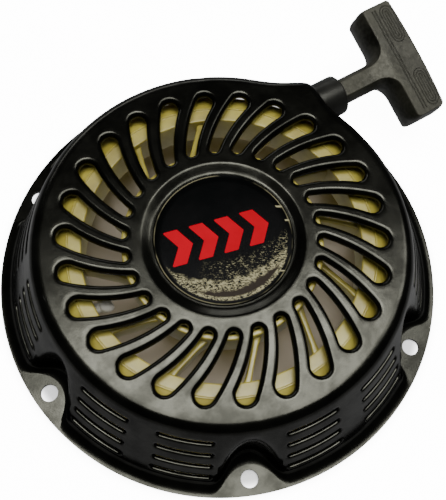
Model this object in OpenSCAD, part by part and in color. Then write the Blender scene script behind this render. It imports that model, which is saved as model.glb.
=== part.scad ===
// Recoil starter for a small engine: stamped steel case, rope reel, spring,
// ratchet, rope and pull grip. Millimetres, +Z out of the engine, origin at the
// centre of the bolt circle on the mounting face, +X along the rope's pull.

/* [Case] */
// Outer diameter of the mounting flange
flange_d = 215; // [212:1:222]
// Height of the case over the mounting face
case_h = 46.5; // [46:0.5:50]
// Thickness of the steel sheet
sheet_t = 1.5; // [1.2:0.1:2]
// Radius of the side wall where it meets the top shoulder
shoulder_r = 84.1; // [83:0.1:86]
// Flare of the side wall, radius gained for each millimetre down
wall_flare = 0.433; // [0.4:0.01:0.45]
// Radius of the sunk disc in the middle of the top
recess_r = 36.1; // [34:0.1:37]
// Depth of the sunk disc
recess_deep = 2; // [1:0.5:2.5]

/* [Mounting holes] */
// Bolt circle diameter
bolt_pcd = 200; // [196:1:202]
// Diameter of each bolt hole
bolt_hole_d = 8; // [6:0.5:9]
// Angle of the first bolt hole
bolt_first = 7.1; // [5:0.1:9]
// Radius of the bolt pocket pressed into the wall
pocket_r = 13.6; // [12:0.1:14]

/* [Air slots] */
// Number of curved slots in the top
slot_count = 26; // [20:1:28]
// Radius of each slot's outer end
slot_out_r = 72.8; // [70:0.1:75]
// Radius of each slot's inner end
slot_in_r = 42.2; // [40:0.1:44]
// Slot width at its outer end
slot_out_w = 7.8; // [6:0.1:9]
// Slot width at its inner end
slot_in_w = 4.2; // [3:0.1:5]
// Height of one side louvre
louvre_h = 3.2; // [2:0.1:4]
// Angle covered by one side louvre
louvre_angle = 16.4; // [14:0.1:18]

/* [Reel] */
// Outer radius of the reel's flanges
reel_r = 76.5; // [72:0.5:78]
// Radius of the rope groove's floor
groove_r = 65; // [63:0.5:66]
// Outer radius of the spring housing
hub_r = 45; // [43:0.5:46]
// Number of ribs from the hub to the rim
rib_count = 12; // [8:1:16]
// Radius of the fixed centre post
post_r = 9; // [8:0.5:10]
// Radial running clearance of turning parts
run_gap = 0.06; // [0.02:0.01:0.1]

/* [Ratchet] */
// Radius at which the pawls pivot
pawl_pivot_r = 26; // [24:0.5:28]
// Length of a pawl from its pivot to its tip
pawl_len = 20; // [18:0.5:21]
// Full swing of a pawl
pawl_swing = 25; // [15:1:26]
// Turn of the ratchet guide that gives the full swing
guide_turn = 20; // [12:1:22]

/* [Rope and grip] */
// Rope diameter
rope_d = 5.5; // [4:0.5:6]
// Sideways place of the rope exit
exit_y = 43.4; // [42:0.1:45]
// Height of the rope exit
exit_z = 30; // [28:0.5:32]
// Outer radius of the rope guide's collar
collar_r = 10; // [9:0.1:11]
// Place of the collar's outer end along the pull
collar_end = 93.3; // [92:0.1:95]
// Roll of the grip about the rope
grip_roll = 15.9; // [0:0.1:30]
// Length of the grip's crossbar
bar_len = 62; // [56:1:66]
// Width of the grip's crossbar
bar_w = 22; // [18:0.5:23]
// Thickness of the grip's crossbar
bar_t = 19; // [16:0.5:20]
// Place of the crossbar's middle along the pull
bar_x = 130; // [128:0.5:134]
// Width across the grip's stem
stem_w = 13; // [11:0.5:13]

/* [Hidden] */
$fn = 96;

steel_black = [0.07, 0.07, 0.07];
steel_plain = [0.62, 0.62, 0.60];
nylon_cream = [0.86, 0.80, 0.60];

flange_r = flange_d / 2;
sector = 60;
bolt_angles = [for (i = [0:5]) bolt_first + i * sector];

// side wall: its radius at a height, and the bends at its top and foot
shoulder_z = case_h - 3;
function wall_r(z) = shoulder_r + wall_flare * (shoulder_z - z);
wall_tilt = atan(wall_flare);
top_bend = 4;
foot_bend = 5;
top_bend_r = wall_r(case_h - top_bend) - top_bend / cos(wall_tilt);
foot_bend_r = wall_r(sheet_t + foot_bend) + foot_bend / cos(wall_tilt);
recess_slope = 4.6;

// the reel and what stands around the centre post, by height
recess_z = case_h - recess_deep;
ceiling_z = recess_z - sheet_t;
post_plate_t = 1.6;
web_low = 22;
web_top = 27;
hub_low = 15.5;
hub_top = 41;
rim_low = 23;
rim_top = 39.2;
rim_in_r = 62.7;
spigot_r = 6;
spigot_low = 8;
guide_z = 12.2;
guide_t = 2.8;
pawl_low = 15.8;
pawl_t = 4.2;
pin_r = 3;

// rope: it leaves the groove on a line that slants to the exit by this angle
lead_slant = 27;
lead_bend_r = 14;
lead_end_x = 72;
rope_r = rope_d / 2;
clear = 0.3;

// points on an arc, from angle a to angle b
function arc(x, y, r, a, b, n = 6) =
    [for (i = [0:n]) [x + r * cos(a + (b - a) * i / n), y + r * sin(a + (b - a) * i / n)]];

// half section of the case envelope, set in by the distance d
function envelope(d) = concat(
    [[0, d > 0 ? -1 : 0]],
    d > 0 ? [[foot_bend_r, -1]] : [[flange_r, 0], [flange_r, sheet_t]],
    arc(foot_bend_r, sheet_t + foot_bend, foot_bend + d, 270, 180 + wall_tilt),
    arc(top_bend_r, case_h - top_bend, top_bend - d, wall_tilt, 90),
    [[recess_r + d * 0.4, case_h - d], [recess_r - recess_slope + d * 0.4, recess_z - d], [0, recess_z - d]]);

// plan of the rope exit's lobe, at the shoulder and at its foot, set in by d
function lobe_top(d) = [[45, 27 + d], [78.5 - d, 25.5 + d], [78.5 - d, 46.5 - d],
                        [75 - d, 50.5 - d], [60 - d, 58.3 - d], [40, 50 - d]];
function lobe_foot(d) = [[45, 27 + d], [86 - d, 24 + d], [86 - d, 54 - d],
                         [82 - d, 58.5 - d], [66 - d, 66 - d], [40, 60 - d]];

// middle line of a curved slot, by radius: it leans over as it goes in
slot_phase = 10.4;
slot_twist = 0.485;
function slot_turn(r) = slot_phase + slot_twist * (71 - r);
function slot_point(r) = [r * cos(slot_turn(r)), r * sin(slot_turn(r))];
function slot_heading(r) =
    let (a = slot_point(r - 0.5), b = slot_point(r + 0.5)) atan2(b[1] - a[1], b[0] - a[0]);
slot_far = slot_out_r - slot_out_w / 2;
slot_near = slot_in_r + slot_in_w / 2;
function slot_half(r) =
    slot_in_w / 2 + (slot_out_w - slot_in_w) / 2 * (r - slot_near) / (slot_far - slot_near);
function slot_edge(r, side) = slot_point(r)
    + side * slot_half(r) * [-sin(slot_heading(r)), cos(slot_heading(r))];
function slot_outline(n = 8) = concat(
    [for (i = [0:n]) slot_edge(slot_near + (slot_far - slot_near) * i / n, -1)],
    arc(slot_point(slot_far)[0], slot_point(slot_far)[1], slot_out_w / 2,
        slot_heading(slot_far) - 72, slot_heading(slot_far) + 72, 4),
    [for (i = [n:-1:0]) slot_edge(slot_near + (slot_far - slot_near) * i / n, 1)],
    arc(slot_point(slot_near)[0], slot_point(slot_near)[1], slot_in_w / 2,
        slot_heading(slot_near) + 108, slot_heading(slot_near) + 252, 4));

// side louvres: rows up the wall, two groups to each sector, but for the group that the lobe displaces
louvre_z = [36.5, 27.3, 18.1, 8.9];
louvre_offset = 12.1;

// spiral of the return spring: radius by turns, a loose first turn and then close ones
spring_turns = 9;
spring_in = 10.6;
spring_mid = 23;
spring_out = 41.6;
spring_strip = 0.8;
function spring_r(t) = t < 1 ? spring_in + (spring_mid - spring_in) * t
    : spring_mid + (spring_out - spring_mid) * (t - 1) / (spring_turns - 1);
function spring_point(t, d) = (spring_r(t) + d) * [cos(-360 * t), sin(-360 * t)];
spring_steps = spring_turns * 24;

// pawl a: its pivot, and its guide pin, which swings about the pivot
pawl_at = [pawl_pivot_r, 0];
pawl_aim = 258.7;
cam_arm = 14.3;
cam_pin_r = 1.8;
function turned(p, a) = [p[0] * cos(a) - p[1] * sin(a), p[0] * sin(a) + p[1] * cos(a)];
function cam_pin(k) = pawl_at + cam_arm * [cos(pawl_aim + pawl_swing * k), sin(pawl_aim + pawl_swing * k)];
function cam_slot(k) = turned(cam_pin(k), -guide_turn * k);
function cam_heading(k) =
    let (a = cam_slot(k - 0.02), b = cam_slot(k + 0.02)) atan2(b[1] - a[1], b[0] - a[0]);

module ring_of(count, first) {
    for (i = [0:count - 1])
        rotate([0, 0, first + i * 360 / count])
            children();
}

module tube(r_in, r_out, z0, z1) {
    difference() {
        translate([0, 0, z0])
            cylinder(r = r_out, h = z1 - z0);
        translate([0, 0, z0 - 1])
            cylinder(r = r_in, h = z1 - z0 + 2);
    }
}

// a cylinder along +X on the rope's exit line
module along_pull(r, x0, x1) {
    translate([x0, exit_y, exit_z])
        rotate([0, 90, 0])
            cylinder(r = r, h = x1 - x0);
}

module bolt_pockets(r, z0, z1) {
    for (a = bolt_angles)
        rotate([0, 0, a])
            translate([bolt_pcd / 2, 0, z0])
                cylinder(r = r, h = z1 - z0);
}

module lobe(d) {
    hull() {
        translate([0, 0, case_h - d - 0.1])
            linear_extrude(0.1)
                polygon(lobe_top(d + 3));
        translate([0, 0, shoulder_z - d])
            linear_extrude(0.1)
                polygon(lobe_top(d));
        translate([0, 0, 8])
            linear_extrude(0.1)
                polygon(lobe_foot(d));
    }
}

module louvres() {
    for (a = bolt_angles, side = [-1, 1], z = louvre_z)
        if (a != bolt_angles[0] || side > 0)
            rotate([0, 0, a + sector / 2 + side * louvre_offset - louvre_angle / 2])
                rotate_extrude(angle = louvre_angle)
                    translate([wall_r(z) - 6, z - louvre_h / 2])
                        square([12, louvre_h]);
}

module case_shell() {
    color(steel_black)
        difference() {
            union() {
                rotate_extrude($fn = 180)
                    polygon(envelope(0));
                lobe(0);
            }
            bolt_pockets(pocket_r, sheet_t, case_h + 1);
            difference() {
                union() {
                    rotate_extrude($fn = 180)
                        polygon(envelope(sheet_t));
                    lobe(sheet_t);
                }
                bolt_pockets(pocket_r + sheet_t, -2, case_h);
            }
            bolt_pockets(bolt_hole_d / 2, -1, sheet_t + 1);
            ring_of(slot_count, 0)
                translate([0, 0, case_h - 4])
                    linear_extrude(6)
                        polygon(slot_outline());
            louvres();
            along_pull(6.6, 70, 90);
            along_pull(collar_r + 0.1, 79.3, 110);
        }
}

// flanged post welded under the case's middle, drilled for the setting screw
module centre_post() {
    color(steel_plain)
        difference() {
            union() {
                translate([0, 0, ceiling_z - post_plate_t])
                    cylinder(r = 17, h = post_plate_t);
                translate([0, 0, web_low - 6.7])
                    cylinder(r = post_r, h = ceiling_z - web_low + 6);
                translate([0, 0, spigot_low])
                    cylinder(r = spigot_r, h = 8);
            }
            translate([0, 0, spigot_low - 1])
                cylinder(r = 4.05, h = 24);
            // slot that takes the spring's inner hook
            translate([post_r - 3.9, -0.8, web_top + 0.4])
                cube([5, 1.6, 12.4]);
        }
}

module label_disc() {
    color([0.05, 0.05, 0.05])
        translate([0, 0, recess_z])
            cylinder(r = 31, h = 0.3);
}

// moulded guide: barrel through the wall, inner lip, and the collar that seats the grip
module rope_guide() {
    color([0.1, 0.1, 0.1])
        difference() {
            union() {
                along_pull(8, 73.4, 76.2);
                along_pull(6.5, 76, 80);
                along_pull(collar_r, 79.4, collar_end - 0.6);
                along_pull(collar_r - 0.6, collar_end - 0.8, collar_end);
            }
            along_pull(rope_r + 0.7, 70, 100);
            along_pull(stem_w / 2 + 1.5, collar_end - 3.5, 100);
        }
}

module setting_screw() {
    color(steel_plain) {
        translate([0, 0, spigot_low - 1.6])
            cylinder(r = 4, h = 20);
        translate([0, 0, 1.6])
            cylinder(r = 7.5, h = 4.8, $fn = 6);
    }
}

module screw_washer() {
    color(steel_plain)
        tube(4.2, 10, spigot_low - 1.6, spigot_low);
}

// coiled strip with a hook turned in to the post and one turned out to the reel
module return_spring() {
    half = spring_strip / 2;
    color([0.35, 0.37, 0.4])
        translate([0, 0, web_top + 0.8])
            linear_extrude(11)
                polygon(concat(
                    [[post_r - 3.4, half], [spring_in + half, half]],
                    [for (i = [1:spring_steps - 1]) spring_point(i / 24, half)],
                    [[spring_out + half, half], [hub_r - 0.4, half], [hub_r - 0.4, -half],
                     [spring_out - half, -half]],
                    [for (i = [spring_steps - 1:-1:1]) spring_point(i / 24, -half)],
                    [[spring_in - half, -half], [post_r - 3.4, -half]]));
}

// a round tube along a level route of points at height z, as one polyhedron
module rope_tube(route, z, r, sides = 10) {
    last = len(route) - 1;
    heading = [for (i = [0:last])
        let (p = route[max(i - 1, 0)], q = route[min(i + 1, last)])
            i == last ? 0 : atan2(q[1] - p[1], q[0] - p[0])];
    points = [for (i = [0:last], k = [0:sides - 1])
        let (a = 360 * k / sides)
            [route[i][0] - r * cos(a) * sin(heading[i]),
             route[i][1] + r * cos(a) * cos(heading[i]),
             z + r * sin(a)]];
    skin = [for (i = [0:last - 1], k = [0:sides - 1])
        let (m = (k + 1) % sides)
            [i * sides + k, i * sides + m, (i + 1) * sides + m, (i + 1) * sides + k]];
    polyhedron(
        points,
        concat(skin, [[for (k = [sides - 1:-1:0]) k], [for (k = [0:sides - 1]) last * sides + k]]),
        convexity = 4);
}

// rope inside the case, from the reel's edge to the guide
module rope_lead() {
    bend = arc(lead_end_x, exit_y + lead_bend_r, lead_bend_r, 270 - lead_slant, 270, 4);
    straight = 7 * [-cos(lead_slant), sin(lead_slant)];
    color([0.75, 0.74, 0.7])
        rope_tube(concat([bend[0] + straight], bend), exit_z, rope_r);
}

// rope from the guide into the grip, which draws out as the grip is pulled
module rope_run() {
    color([0.75, 0.74, 0.7])
        along_pull(rope_r, lead_end_x, 128.9);
}

module reel_ribs() {
    rib_t = 2.5;
    // each rib runs from the rim to a point further round on the hub
    p = 63.5 * [cos(-5.25), sin(-5.25)];
    q = 44.2 * [cos(5.25), sin(5.25)];
    ring_of(rib_count, 14)
        translate([p[0], p[1], 26])
            rotate([0, 0, atan2(q[1] - p[1], q[0] - p[0])])
                translate([0, -rib_t / 2, 0])
                    cube([norm(q - p), rib_t, 10]);
}

knot_turn = 177;

module reel() {
    color(nylon_cream)
        difference() {
            union() {
                rotate_extrude()
                    polygon([[post_r + run_gap, hub_low], [14, hub_low], [14, web_low], [hub_r, web_low],
                             [hub_r, hub_top], [hub_r - 2.5, hub_top], [hub_r - 2.5, web_top],
                             [post_r + run_gap, web_top]]);
                rotate_extrude()
                    polygon([[rim_in_r, rim_low], [reel_r, rim_low + 0.8], [reel_r, rim_low + 2],
                             [groove_r, rim_low + 2.8], [groove_r, rim_top - 3.7],
                             [reel_r, rim_top - 2.9], [reel_r, rim_top - 1.9],
                             [69.2, rim_top], [rim_in_r, rim_top]]);
                reel_ribs();
            }
            for (a = [0, 180])
                rotate([0, 0, a])
                    translate([pawl_at[0], pawl_at[1], web_low - 1])
                        cylinder(r = pin_r + 0.05, h = 5.4);
            // notch for the spring's outer hook
            translate([hub_r - 3.5, -1, web_top + 0.4])
                cube([5, 2, hub_top - web_top]);
            rotate([0, 0, knot_turn])
                translate([rim_in_r - 3, 0, 31])
                    rotate([0, 90, 0])
                        cylinder(r = rope_r + 0.3, h = 8);
        }
}

// the rope wound on the reel, as the ring of its turns
module rope_coil() {
    color([0.75, 0.74, 0.7])
        rotate_extrude()
            polygon([[groove_r + 0.1, 26.6], [72, 26.2], [73.3, 27.5], [73.3, 33.5], [72, 35.2],
                     [groove_r + 0.1, 34.8]]);
}

module reel_knot() {
    color([0.75, 0.74, 0.7])
        rotate([0, 0, knot_turn]) {
            translate([58, 0, 31])
                sphere(r = 4.4, $fn = 32);
            translate([58, 0, 31])
                rotate([0, 90, 0])
                    cylinder(r = rope_r, h = groove_r - 58, $fn = 32);
        }
}

module cam_slots() {
    half = cam_pin_r + clear;
    steps = 6;
    a = cam_slot(0);
    b = cam_slot(1);
    linear_extrude(10)
        polygon(concat(
            [for (i = [0:steps]) cam_slot(i / steps) + half * turned([0, -1], cam_heading(i / steps))],
            arc(b[0], b[1], half, cam_heading(1) - 70, cam_heading(1) + 70, 6),
            [for (i = [steps:-1:0]) cam_slot(i / steps) + half * turned([0, 1], cam_heading(i / steps))],
            arc(a[0], a[1], half, cam_heading(0) + 110, cam_heading(0) + 250, 6)));
}

// plate that turns a little on the spigot and works both pawls through its cam slots
module ratchet_guide() {
    ear = (cam_slot(0) + cam_slot(1)) / 2;
    color(steel_plain)
        difference() {
            union() {
                translate([0, 0, guide_z])
                    cylinder(r = 18, h = guide_t);
                translate([0, 0, spigot_low + 0.2])
                    cylinder(r = 9, h = guide_z - spigot_low);
                for (a = [0, 180])
                    rotate([0, 0, a]) {
                        translate([ear[0], ear[1], guide_z])
                            cylinder(r = 9, h = guide_t);
                        translate([0, 0, guide_z])
                            rotate([0, 0, atan2(ear[1], ear[0])])
                                translate([0, -9, 0])
                                    cube([norm(ear), 18, guide_t]);
                    }
            }
            translate([0, 0, spigot_low - 1])
                cylinder(r = spigot_r + run_gap, h = 10);
            for (a = [0, 180])
                rotate([0, 0, a])
                    translate([0, 0, guide_z - 1])
                        cam_slots();
        }
}

// wire clip that drags on the guide's boss
module friction_spring() {
    wire_r = 0.8;
    ring_r = 9 + wire_r + 0.1;
    color(steel_plain)
        translate([0, 0, 10]) {
            rotate([0, 0, 30])
                rotate_extrude(angle = 300)
                    translate([ring_r, 0])
                        circle(r = wire_r, $fn = 24);
            for (a = [30, 330])
                rotate([0, 0, a])
                    translate([ring_r, 0, 0])
                        rotate([0, 90, 0])
                            cylinder(r = wire_r, h = 5, $fn = 24);
        }
}

module pawl() {
    eye_r = 5.4;
    tip = 3.4;
    color([0.5, 0.5, 0.48])
        translate([pawl_at[0], pawl_at[1], pawl_low]) {
            translate([0, 0, pawl_t - 0.5])
                cylinder(r = pin_r, h = 6.5);
            rotate([0, 0, pawl_aim])
                linear_extrude(pawl_t)
                    polygon(concat(
                        arc(0, 0, eye_r, 90, 270, 12),
                        [[cam_arm, -4.2], [pawl_len, -tip], [pawl_len - 1.6, tip + 1.2],
                         [cam_arm, 4.2]]));
            rotate([0, 0, pawl_aim])
                translate([cam_arm, 0, guide_z - pawl_low + 0.4])
                    cylinder(r = cam_pin_r, h = pawl_low - guide_z);
        }
}

module pawl_spring() {
    spring_z = pawl_low + pawl_t + 0.2;
    color([0.6, 0.6, 0.58])
        translate([pawl_at[0], pawl_at[1], 0]) {
            tube(pin_r + 0.3, pin_r + 1.3, spring_z, spring_z + 1.6);
            rotate([0, 0, pawl_aim - 12])
                translate([pin_r + 0.6, -0.4, spring_z + 0.1])
                    cube([8, 0.8, 0.8]);
        }
}

module pawl_a() {
    pawl();
}

module pawl_b() {
    rotate([0, 0, 180])
        pawl();
}

module pawl_spring_a() {
    pawl_spring();
}

module pawl_spring_b() {
    rotate([0, 0, 180])
        pawl_spring();
}

// everything of the grip is drawn about the rope and then rolled and put in place
module on_rope() {
    translate([0, exit_y, exit_z])
        rotate([grip_roll, 0, 0])
            children();
}

module bar_plan() {
    corner = 9;
    translate([bar_x, 0])
        polygon(concat(
            arc(bar_w / 2 - corner, bar_len / 2 - corner, corner, 0, 90),
            arc(corner - bar_w / 2, bar_len / 2 - corner, corner, 90, 180),
            arc(corner - bar_w / 2, corner - bar_len / 2, corner, 180, 270),
            arc(bar_w / 2 - corner, corner - bar_len / 2, corner, 270, 360)));
}

module bar_section() {
    flat = 8.6;
    polygon([[-flat, -bar_t / 2], [flat, -bar_t / 2], [bar_w / 2 - 0.4, -5], [bar_w / 2, 0],
             [bar_w / 2 - 0.4, 5], [flat, bar_t / 2], [-flat, bar_t / 2], [0.4 - bar_w / 2, 5],
             [-bar_w / 2, 0], [0.4 - bar_w / 2, -5]]);
}

module grip() {
    stem_start = collar_end - 3;
    neck = bar_x - bar_w / 2 + 1;
    fillet = 7;
    cut = 2.5;
    half = stem_w / 2;
    color([0.13, 0.13, 0.13])
        on_rope()
            difference() {
                union() {
                    intersection() {
                        translate([0, 0, -bar_t])
                            linear_extrude(2 * bar_t)
                                bar_plan();
                        translate([bar_x, bar_len, 0])
                            rotate([90, 0, 0])
                                linear_extrude(2 * bar_len)
                                    bar_section();
                    }
                    translate([stem_start, 0, 0])
                        rotate([90, 0, 90])
                            linear_extrude(neck - stem_start + 1)
                                polygon([[-half, cut - half], [cut - half, -half], [half - cut, -half],
                                         [half, cut - half], [half, half - cut], [half - cut, half],
                                         [cut - half, half], [-half, half - cut]]);
                    translate([0, 0, -half + 0.5])
                        linear_extrude(stem_w - 1)
                            polygon(concat(
                                [[neck + 1, -half - fillet], [neck + 1, half + fillet]],
                                arc(neck - fillet, half + fillet, fillet, 360, 270),
                                arc(neck - fillet, -half - fillet, fillet, 90, 0)));
                }
                translate([stem_start - 1, 0, 0])
                    rotate([0, 90, 0])
                        cylinder(r = rope_r + 0.5, h = 50);
                translate([bar_x - 3, 0, 0])
                    rotate([0, 90, 0])
                        cylinder(r = 8, h = 30);
            }
}

module grip_retainer() {
    color(steel_plain)
        on_rope()
            translate([bar_x - 2.9, 0, 0])
                rotate([0, 90, 0])
                    tube(rope_r + 0.3, 7.6, 0, 1.6);
}

module grip_knot() {
    color([0.75, 0.74, 0.7])
        translate([bar_x + 4.9, exit_y, exit_z])
            sphere(r = 6, $fn = 32);
}

case_shell();
centre_post();
label_disc();
rope_guide();
setting_screw();
screw_washer();
return_spring();
rope_lead();
reel();
rope_coil();
reel_knot();
ratchet_guide();
friction_spring();
pawl_a();
pawl_spring_a();
pawl_b();
pawl_spring_b();
rope_run();
grip();
grip_retainer();
grip_knot();
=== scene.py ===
"""Recoil starter: the looks of a pressed steel pull starter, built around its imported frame.

Every size is in millimetres in the classes below and turned into metres when a mesh is made.
"""

import logging
import math
from contextlib import contextmanager
from dataclasses import dataclass
from enum import Enum
from typing import Callable, Iterator, Sequence

import bmesh
import bpy
import numpy as np
from mathutils import Matrix, Vector


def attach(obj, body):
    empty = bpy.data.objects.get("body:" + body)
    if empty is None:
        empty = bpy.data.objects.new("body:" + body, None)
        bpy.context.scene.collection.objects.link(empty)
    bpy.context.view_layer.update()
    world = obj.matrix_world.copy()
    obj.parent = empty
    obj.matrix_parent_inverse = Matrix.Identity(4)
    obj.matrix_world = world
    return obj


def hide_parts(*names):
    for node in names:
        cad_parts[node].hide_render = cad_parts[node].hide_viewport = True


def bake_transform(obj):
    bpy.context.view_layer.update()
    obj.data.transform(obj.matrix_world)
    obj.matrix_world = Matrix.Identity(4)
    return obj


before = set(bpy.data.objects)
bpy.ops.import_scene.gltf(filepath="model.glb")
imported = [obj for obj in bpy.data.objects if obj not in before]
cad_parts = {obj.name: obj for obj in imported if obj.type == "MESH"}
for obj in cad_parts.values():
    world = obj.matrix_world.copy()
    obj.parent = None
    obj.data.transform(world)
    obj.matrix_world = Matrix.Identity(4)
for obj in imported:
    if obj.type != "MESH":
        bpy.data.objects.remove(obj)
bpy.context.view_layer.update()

MM = 0.001
SMOOTH_BELOW = 55.0  # degrees between faces; sharper edges are shaded as edges
LOG = logging.getLogger("recoil_starter")

Points = np.ndarray
Faces = list[tuple[int, ...]]
Color = tuple[float, float, float]
Piece = bpy.types.Object
Socket = bpy.types.NodeSocket
Sockets = dict[str, Socket]

# colour of the film on faces that look up: dust, and partly a painted sheen
DUST_AND_SHEEN: Color = (0.6, 0.58, 0.5)
PALE_FLOOR: tuple[Color, Color] = ((0.93, 0.93, 0.925), (0.96, 0.96, 0.955))
SHADED_FLOOR: Color = (0.3, 0.265, 0.225)
SKY: Color = (0.85, 0.92, 1.0)
# painted shade colour of the grip's grooves
GROOVE_SHADE: Color = (0.002, 0.002, 0.0016)


# ---------------------------------------------------------------- mesh helpers


@contextmanager
def edited(data: bpy.types.Mesh) -> Iterator[bmesh.types.BMesh]:
    """Opens a mesh for editing, and writes it back afterwards.

    Args:
        data: The mesh.

    Yields:
        Its editable copy.
    """
    bm = bmesh.new()
    bm.from_mesh(data)
    yield bm
    bm.to_mesh(data)
    bm.free()


def linked(name: str, data: bpy.types.ID) -> Piece:
    """Makes an object and puts it in the scene.

    Args:
        name: The object's name.
        data: Its mesh, light or camera.

    Returns:
        The object.
    """
    made = bpy.data.objects.new(name, data)
    bpy.context.scene.collection.objects.link(made)
    return made


class Mesh:
    """A growing list of points, in millimetres, and of faces over them."""

    def __init__(self) -> None:
        """Starts with nothing in it."""
        self.points: list[Points] = []
        self.faces: Faces = []
        self.count = 0

    def add(self, points: Points) -> np.ndarray:
        """Adds points.

        Args:
            points: Any array whose last axis is x, y and z.

        Returns:
            The points' numbers, in the shape of the array without its last axis.
        """
        shape = points.shape[:-1]
        flat = points.reshape(-1, 3)
        numbers = np.arange(self.count, self.count + len(flat)).reshape(shape)
        self.points.append(flat)
        self.count += len(flat)
        return numbers

    def grid(self, points: Points, wrap: bool = False) -> np.ndarray:
        """Adds a sheet of quads.

        Args:
            points: Rows by columns by xyz.
            wrap: Whether the last column joins the first.

        Returns:
            The points' numbers, rows by columns.
        """
        numbers = self.add(points)
        self.join(numbers, wrap)
        return numbers

    def join(self, numbers: np.ndarray, wrap: bool = False) -> None:
        """Joins rows of numbered points with quads.

        Args:
            numbers: Rows by columns of point numbers.
            wrap: Whether the last column joins the first.
        """
        after = np.roll(numbers, -1, axis=1)
        last = numbers.shape[1] if wrap else numbers.shape[1] - 1
        for row in range(numbers.shape[0] - 1):
            for col in range(last):
                corners = numbers[row, col], after[row, col], after[row + 1, col], numbers[row + 1, col]
                self.cap(corners)

    def closed_grid(self, points: Points) -> None:
        """Adds a sheet of quads that closes round, with a face on each end.

        Args:
            points: Rows by columns by xyz.
        """
        numbers = self.grid(points, wrap=True)
        self.cap(numbers[0][::-1])
        self.cap(numbers[-1])

    def cap(self, loop: Sequence[int]) -> None:
        """Closes a loop of points with one face.

        Args:
            loop: The points' numbers in order.
        """
        self.faces.append(tuple(int(i) for i in loop))

    def build(self, name: str, weld: float = 0.004) -> Piece:
        """Makes the object, welded and shaded smooth.

        Args:
            name: The object's name.
            weld: Points closer than this, in millimetres, become one.

        Returns:
            The new object, linked to the scene.
        """
        data = bpy.data.meshes.new(name)
        data.from_pydata((np.concatenate(self.points) * MM).tolist(), [], self.faces)
        if weld:
            with edited(data) as bm:
                bmesh.ops.remove_doubles(bm, verts=bm.verts, dist=weld * MM)
        data.shade_smooth()
        data.set_sharp_from_angle(angle=math.radians(SMOOTH_BELOW))
        return linked(name, data)


def turned(points: Points, degrees: float) -> Points:
    """Turns points about the Z axis.

    Args:
        points: Any array whose last axis starts with x and y.
        degrees: The turn, counter-clockwise from above.

    Returns:
        A turned copy.
    """
    c, s = math.cos(math.radians(degrees)), math.sin(math.radians(degrees))
    out = np.array(points, float)
    out[..., 0] = c * points[..., 0] - s * points[..., 1]
    out[..., 1] = s * points[..., 0] + c * points[..., 1]
    return out


def polar(radius: Points, degrees: Points, height: Points) -> Points:
    """Points from cylinder coordinates.

    Args:
        radius: Distances from the Z axis.
        degrees: Angles from +X.
        height: Heights.

    Returns:
        An array with a last axis of x, y and z.
    """
    angle = np.radians(degrees)
    radius, angle, height = np.broadcast_arrays(radius, angle, height)
    return np.stack([radius * np.cos(angle), radius * np.sin(angle), height], -1)


def unit(vectors: Points) -> Points:
    """Vectors scaled to a length of 1, one a row."""
    return vectors / np.linalg.norm(vectors, axis=1)[:, None]


def eased(t: Points) -> Points:
    """A share from 0 to 1 that starts and ends slowly."""
    return t * t * (3 - 2 * t)


def rim_of(sheet: Points) -> Points:
    """The outer loop of a sheet of points.

    Args:
        sheet: Rows by columns by coordinates.

    Returns:
        The loop's points: along the first row, down the last column and back round.
    """
    return np.vstack([sheet[0, :-1], sheet[:-1, -1], sheet[-1, ::-1][:-1], sheet[::-1, 0][:-1]])


def smooth_min(a: Points, b: Points, k: float) -> Points:
    """The lower of two surfaces with a rounded meeting line.

    Args:
        a: One surface's values.
        b: The other's.
        k: How far from the meeting line the rounding reaches.

    Returns:
        The blended values.
    """
    h = np.maximum(k - np.abs(a - b), 0) / k
    return np.minimum(a, b) - h * h * k / 4


def smooth_max(a: Points, b: Points, k: float) -> Points:
    """The higher of two surfaces with a rounded meeting line; see smooth_min."""
    return -smooth_min(-a, -b, k)


def rounded(corners: Sequence[tuple[float, float, float]], steps: int = 4, closed: bool = False) -> Points:
    """A flat outline with its corners rounded.

    Args:
        corners: Each corner's two coordinates and its radius.
        steps: How many segments round a corner.
        closed: Whether the outline closes on itself.

    Returns:
        The outline's points, one a row.
    """
    count = len(corners)
    out: list[np.ndarray] = []
    for i, (x, y, radius) in enumerate(corners):
        here = np.array([x, y], float)
        if radius <= 0 or (not closed and i in (0, count - 1)):
            out.append(here)
            continue
        before = np.array(corners[i - 1][:2], float) - here
        after = np.array(corners[(i + 1) % count][:2], float) - here
        before /= np.linalg.norm(before)
        after /= np.linalg.norm(after)
        half = math.acos(float(np.clip(before @ after, -1, 1))) / 2
        reach = radius / math.tan(half)
        centre = here + (before + after) / np.linalg.norm(before + after) * radius / math.sin(half)
        start, end = here + before * reach - centre, here + after * reach - centre
        a, b = math.atan2(start[1], start[0]), math.atan2(end[1], end[0])
        sweep = (b - a + math.pi) % (2 * math.pi) - math.pi
        for step in range(steps + 1):
            angle = a + sweep * step / steps
            out.append(centre + radius * np.array([math.cos(angle), math.sin(angle)]))
    return np.array(out)


def lathe(mesh: Mesh, profile: Points, sides: int, closed: bool = True) -> None:
    """Turns a profile of radius and height about the Z axis.

    Args:
        mesh: The mesh that grows.
        profile: Radius and height, one point a row.
        sides: How many sides the turned shape has.
        closed: Whether the profile's end joins its start.
    """
    profile = np.vstack([profile, profile[:1]]) if closed else profile
    angles = np.arange(sides) * 360 / sides
    mesh.grid(polar(profile[:, :1], angles[None, :], profile[:, 1:2]), wrap=True)


def lathe_x(profile: Points, sides: int, y: float = 0.0, z: float = 0.0) -> Mesh:
    """Turns a closed profile about a line along +X.

    Args:
        profile: Distance from the line and place along it, one point a row.
        sides: How many sides the turned shape has.
        y: The line's y.
        z: The line's height.

    Returns:
        A new mesh.
    """
    mesh = Mesh()
    lathe(mesh, profile, sides)
    mesh.points = [np.stack([p[..., 2], p[..., 0] + y, p[..., 1] + z], -1) for p in mesh.points]
    return mesh


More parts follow.
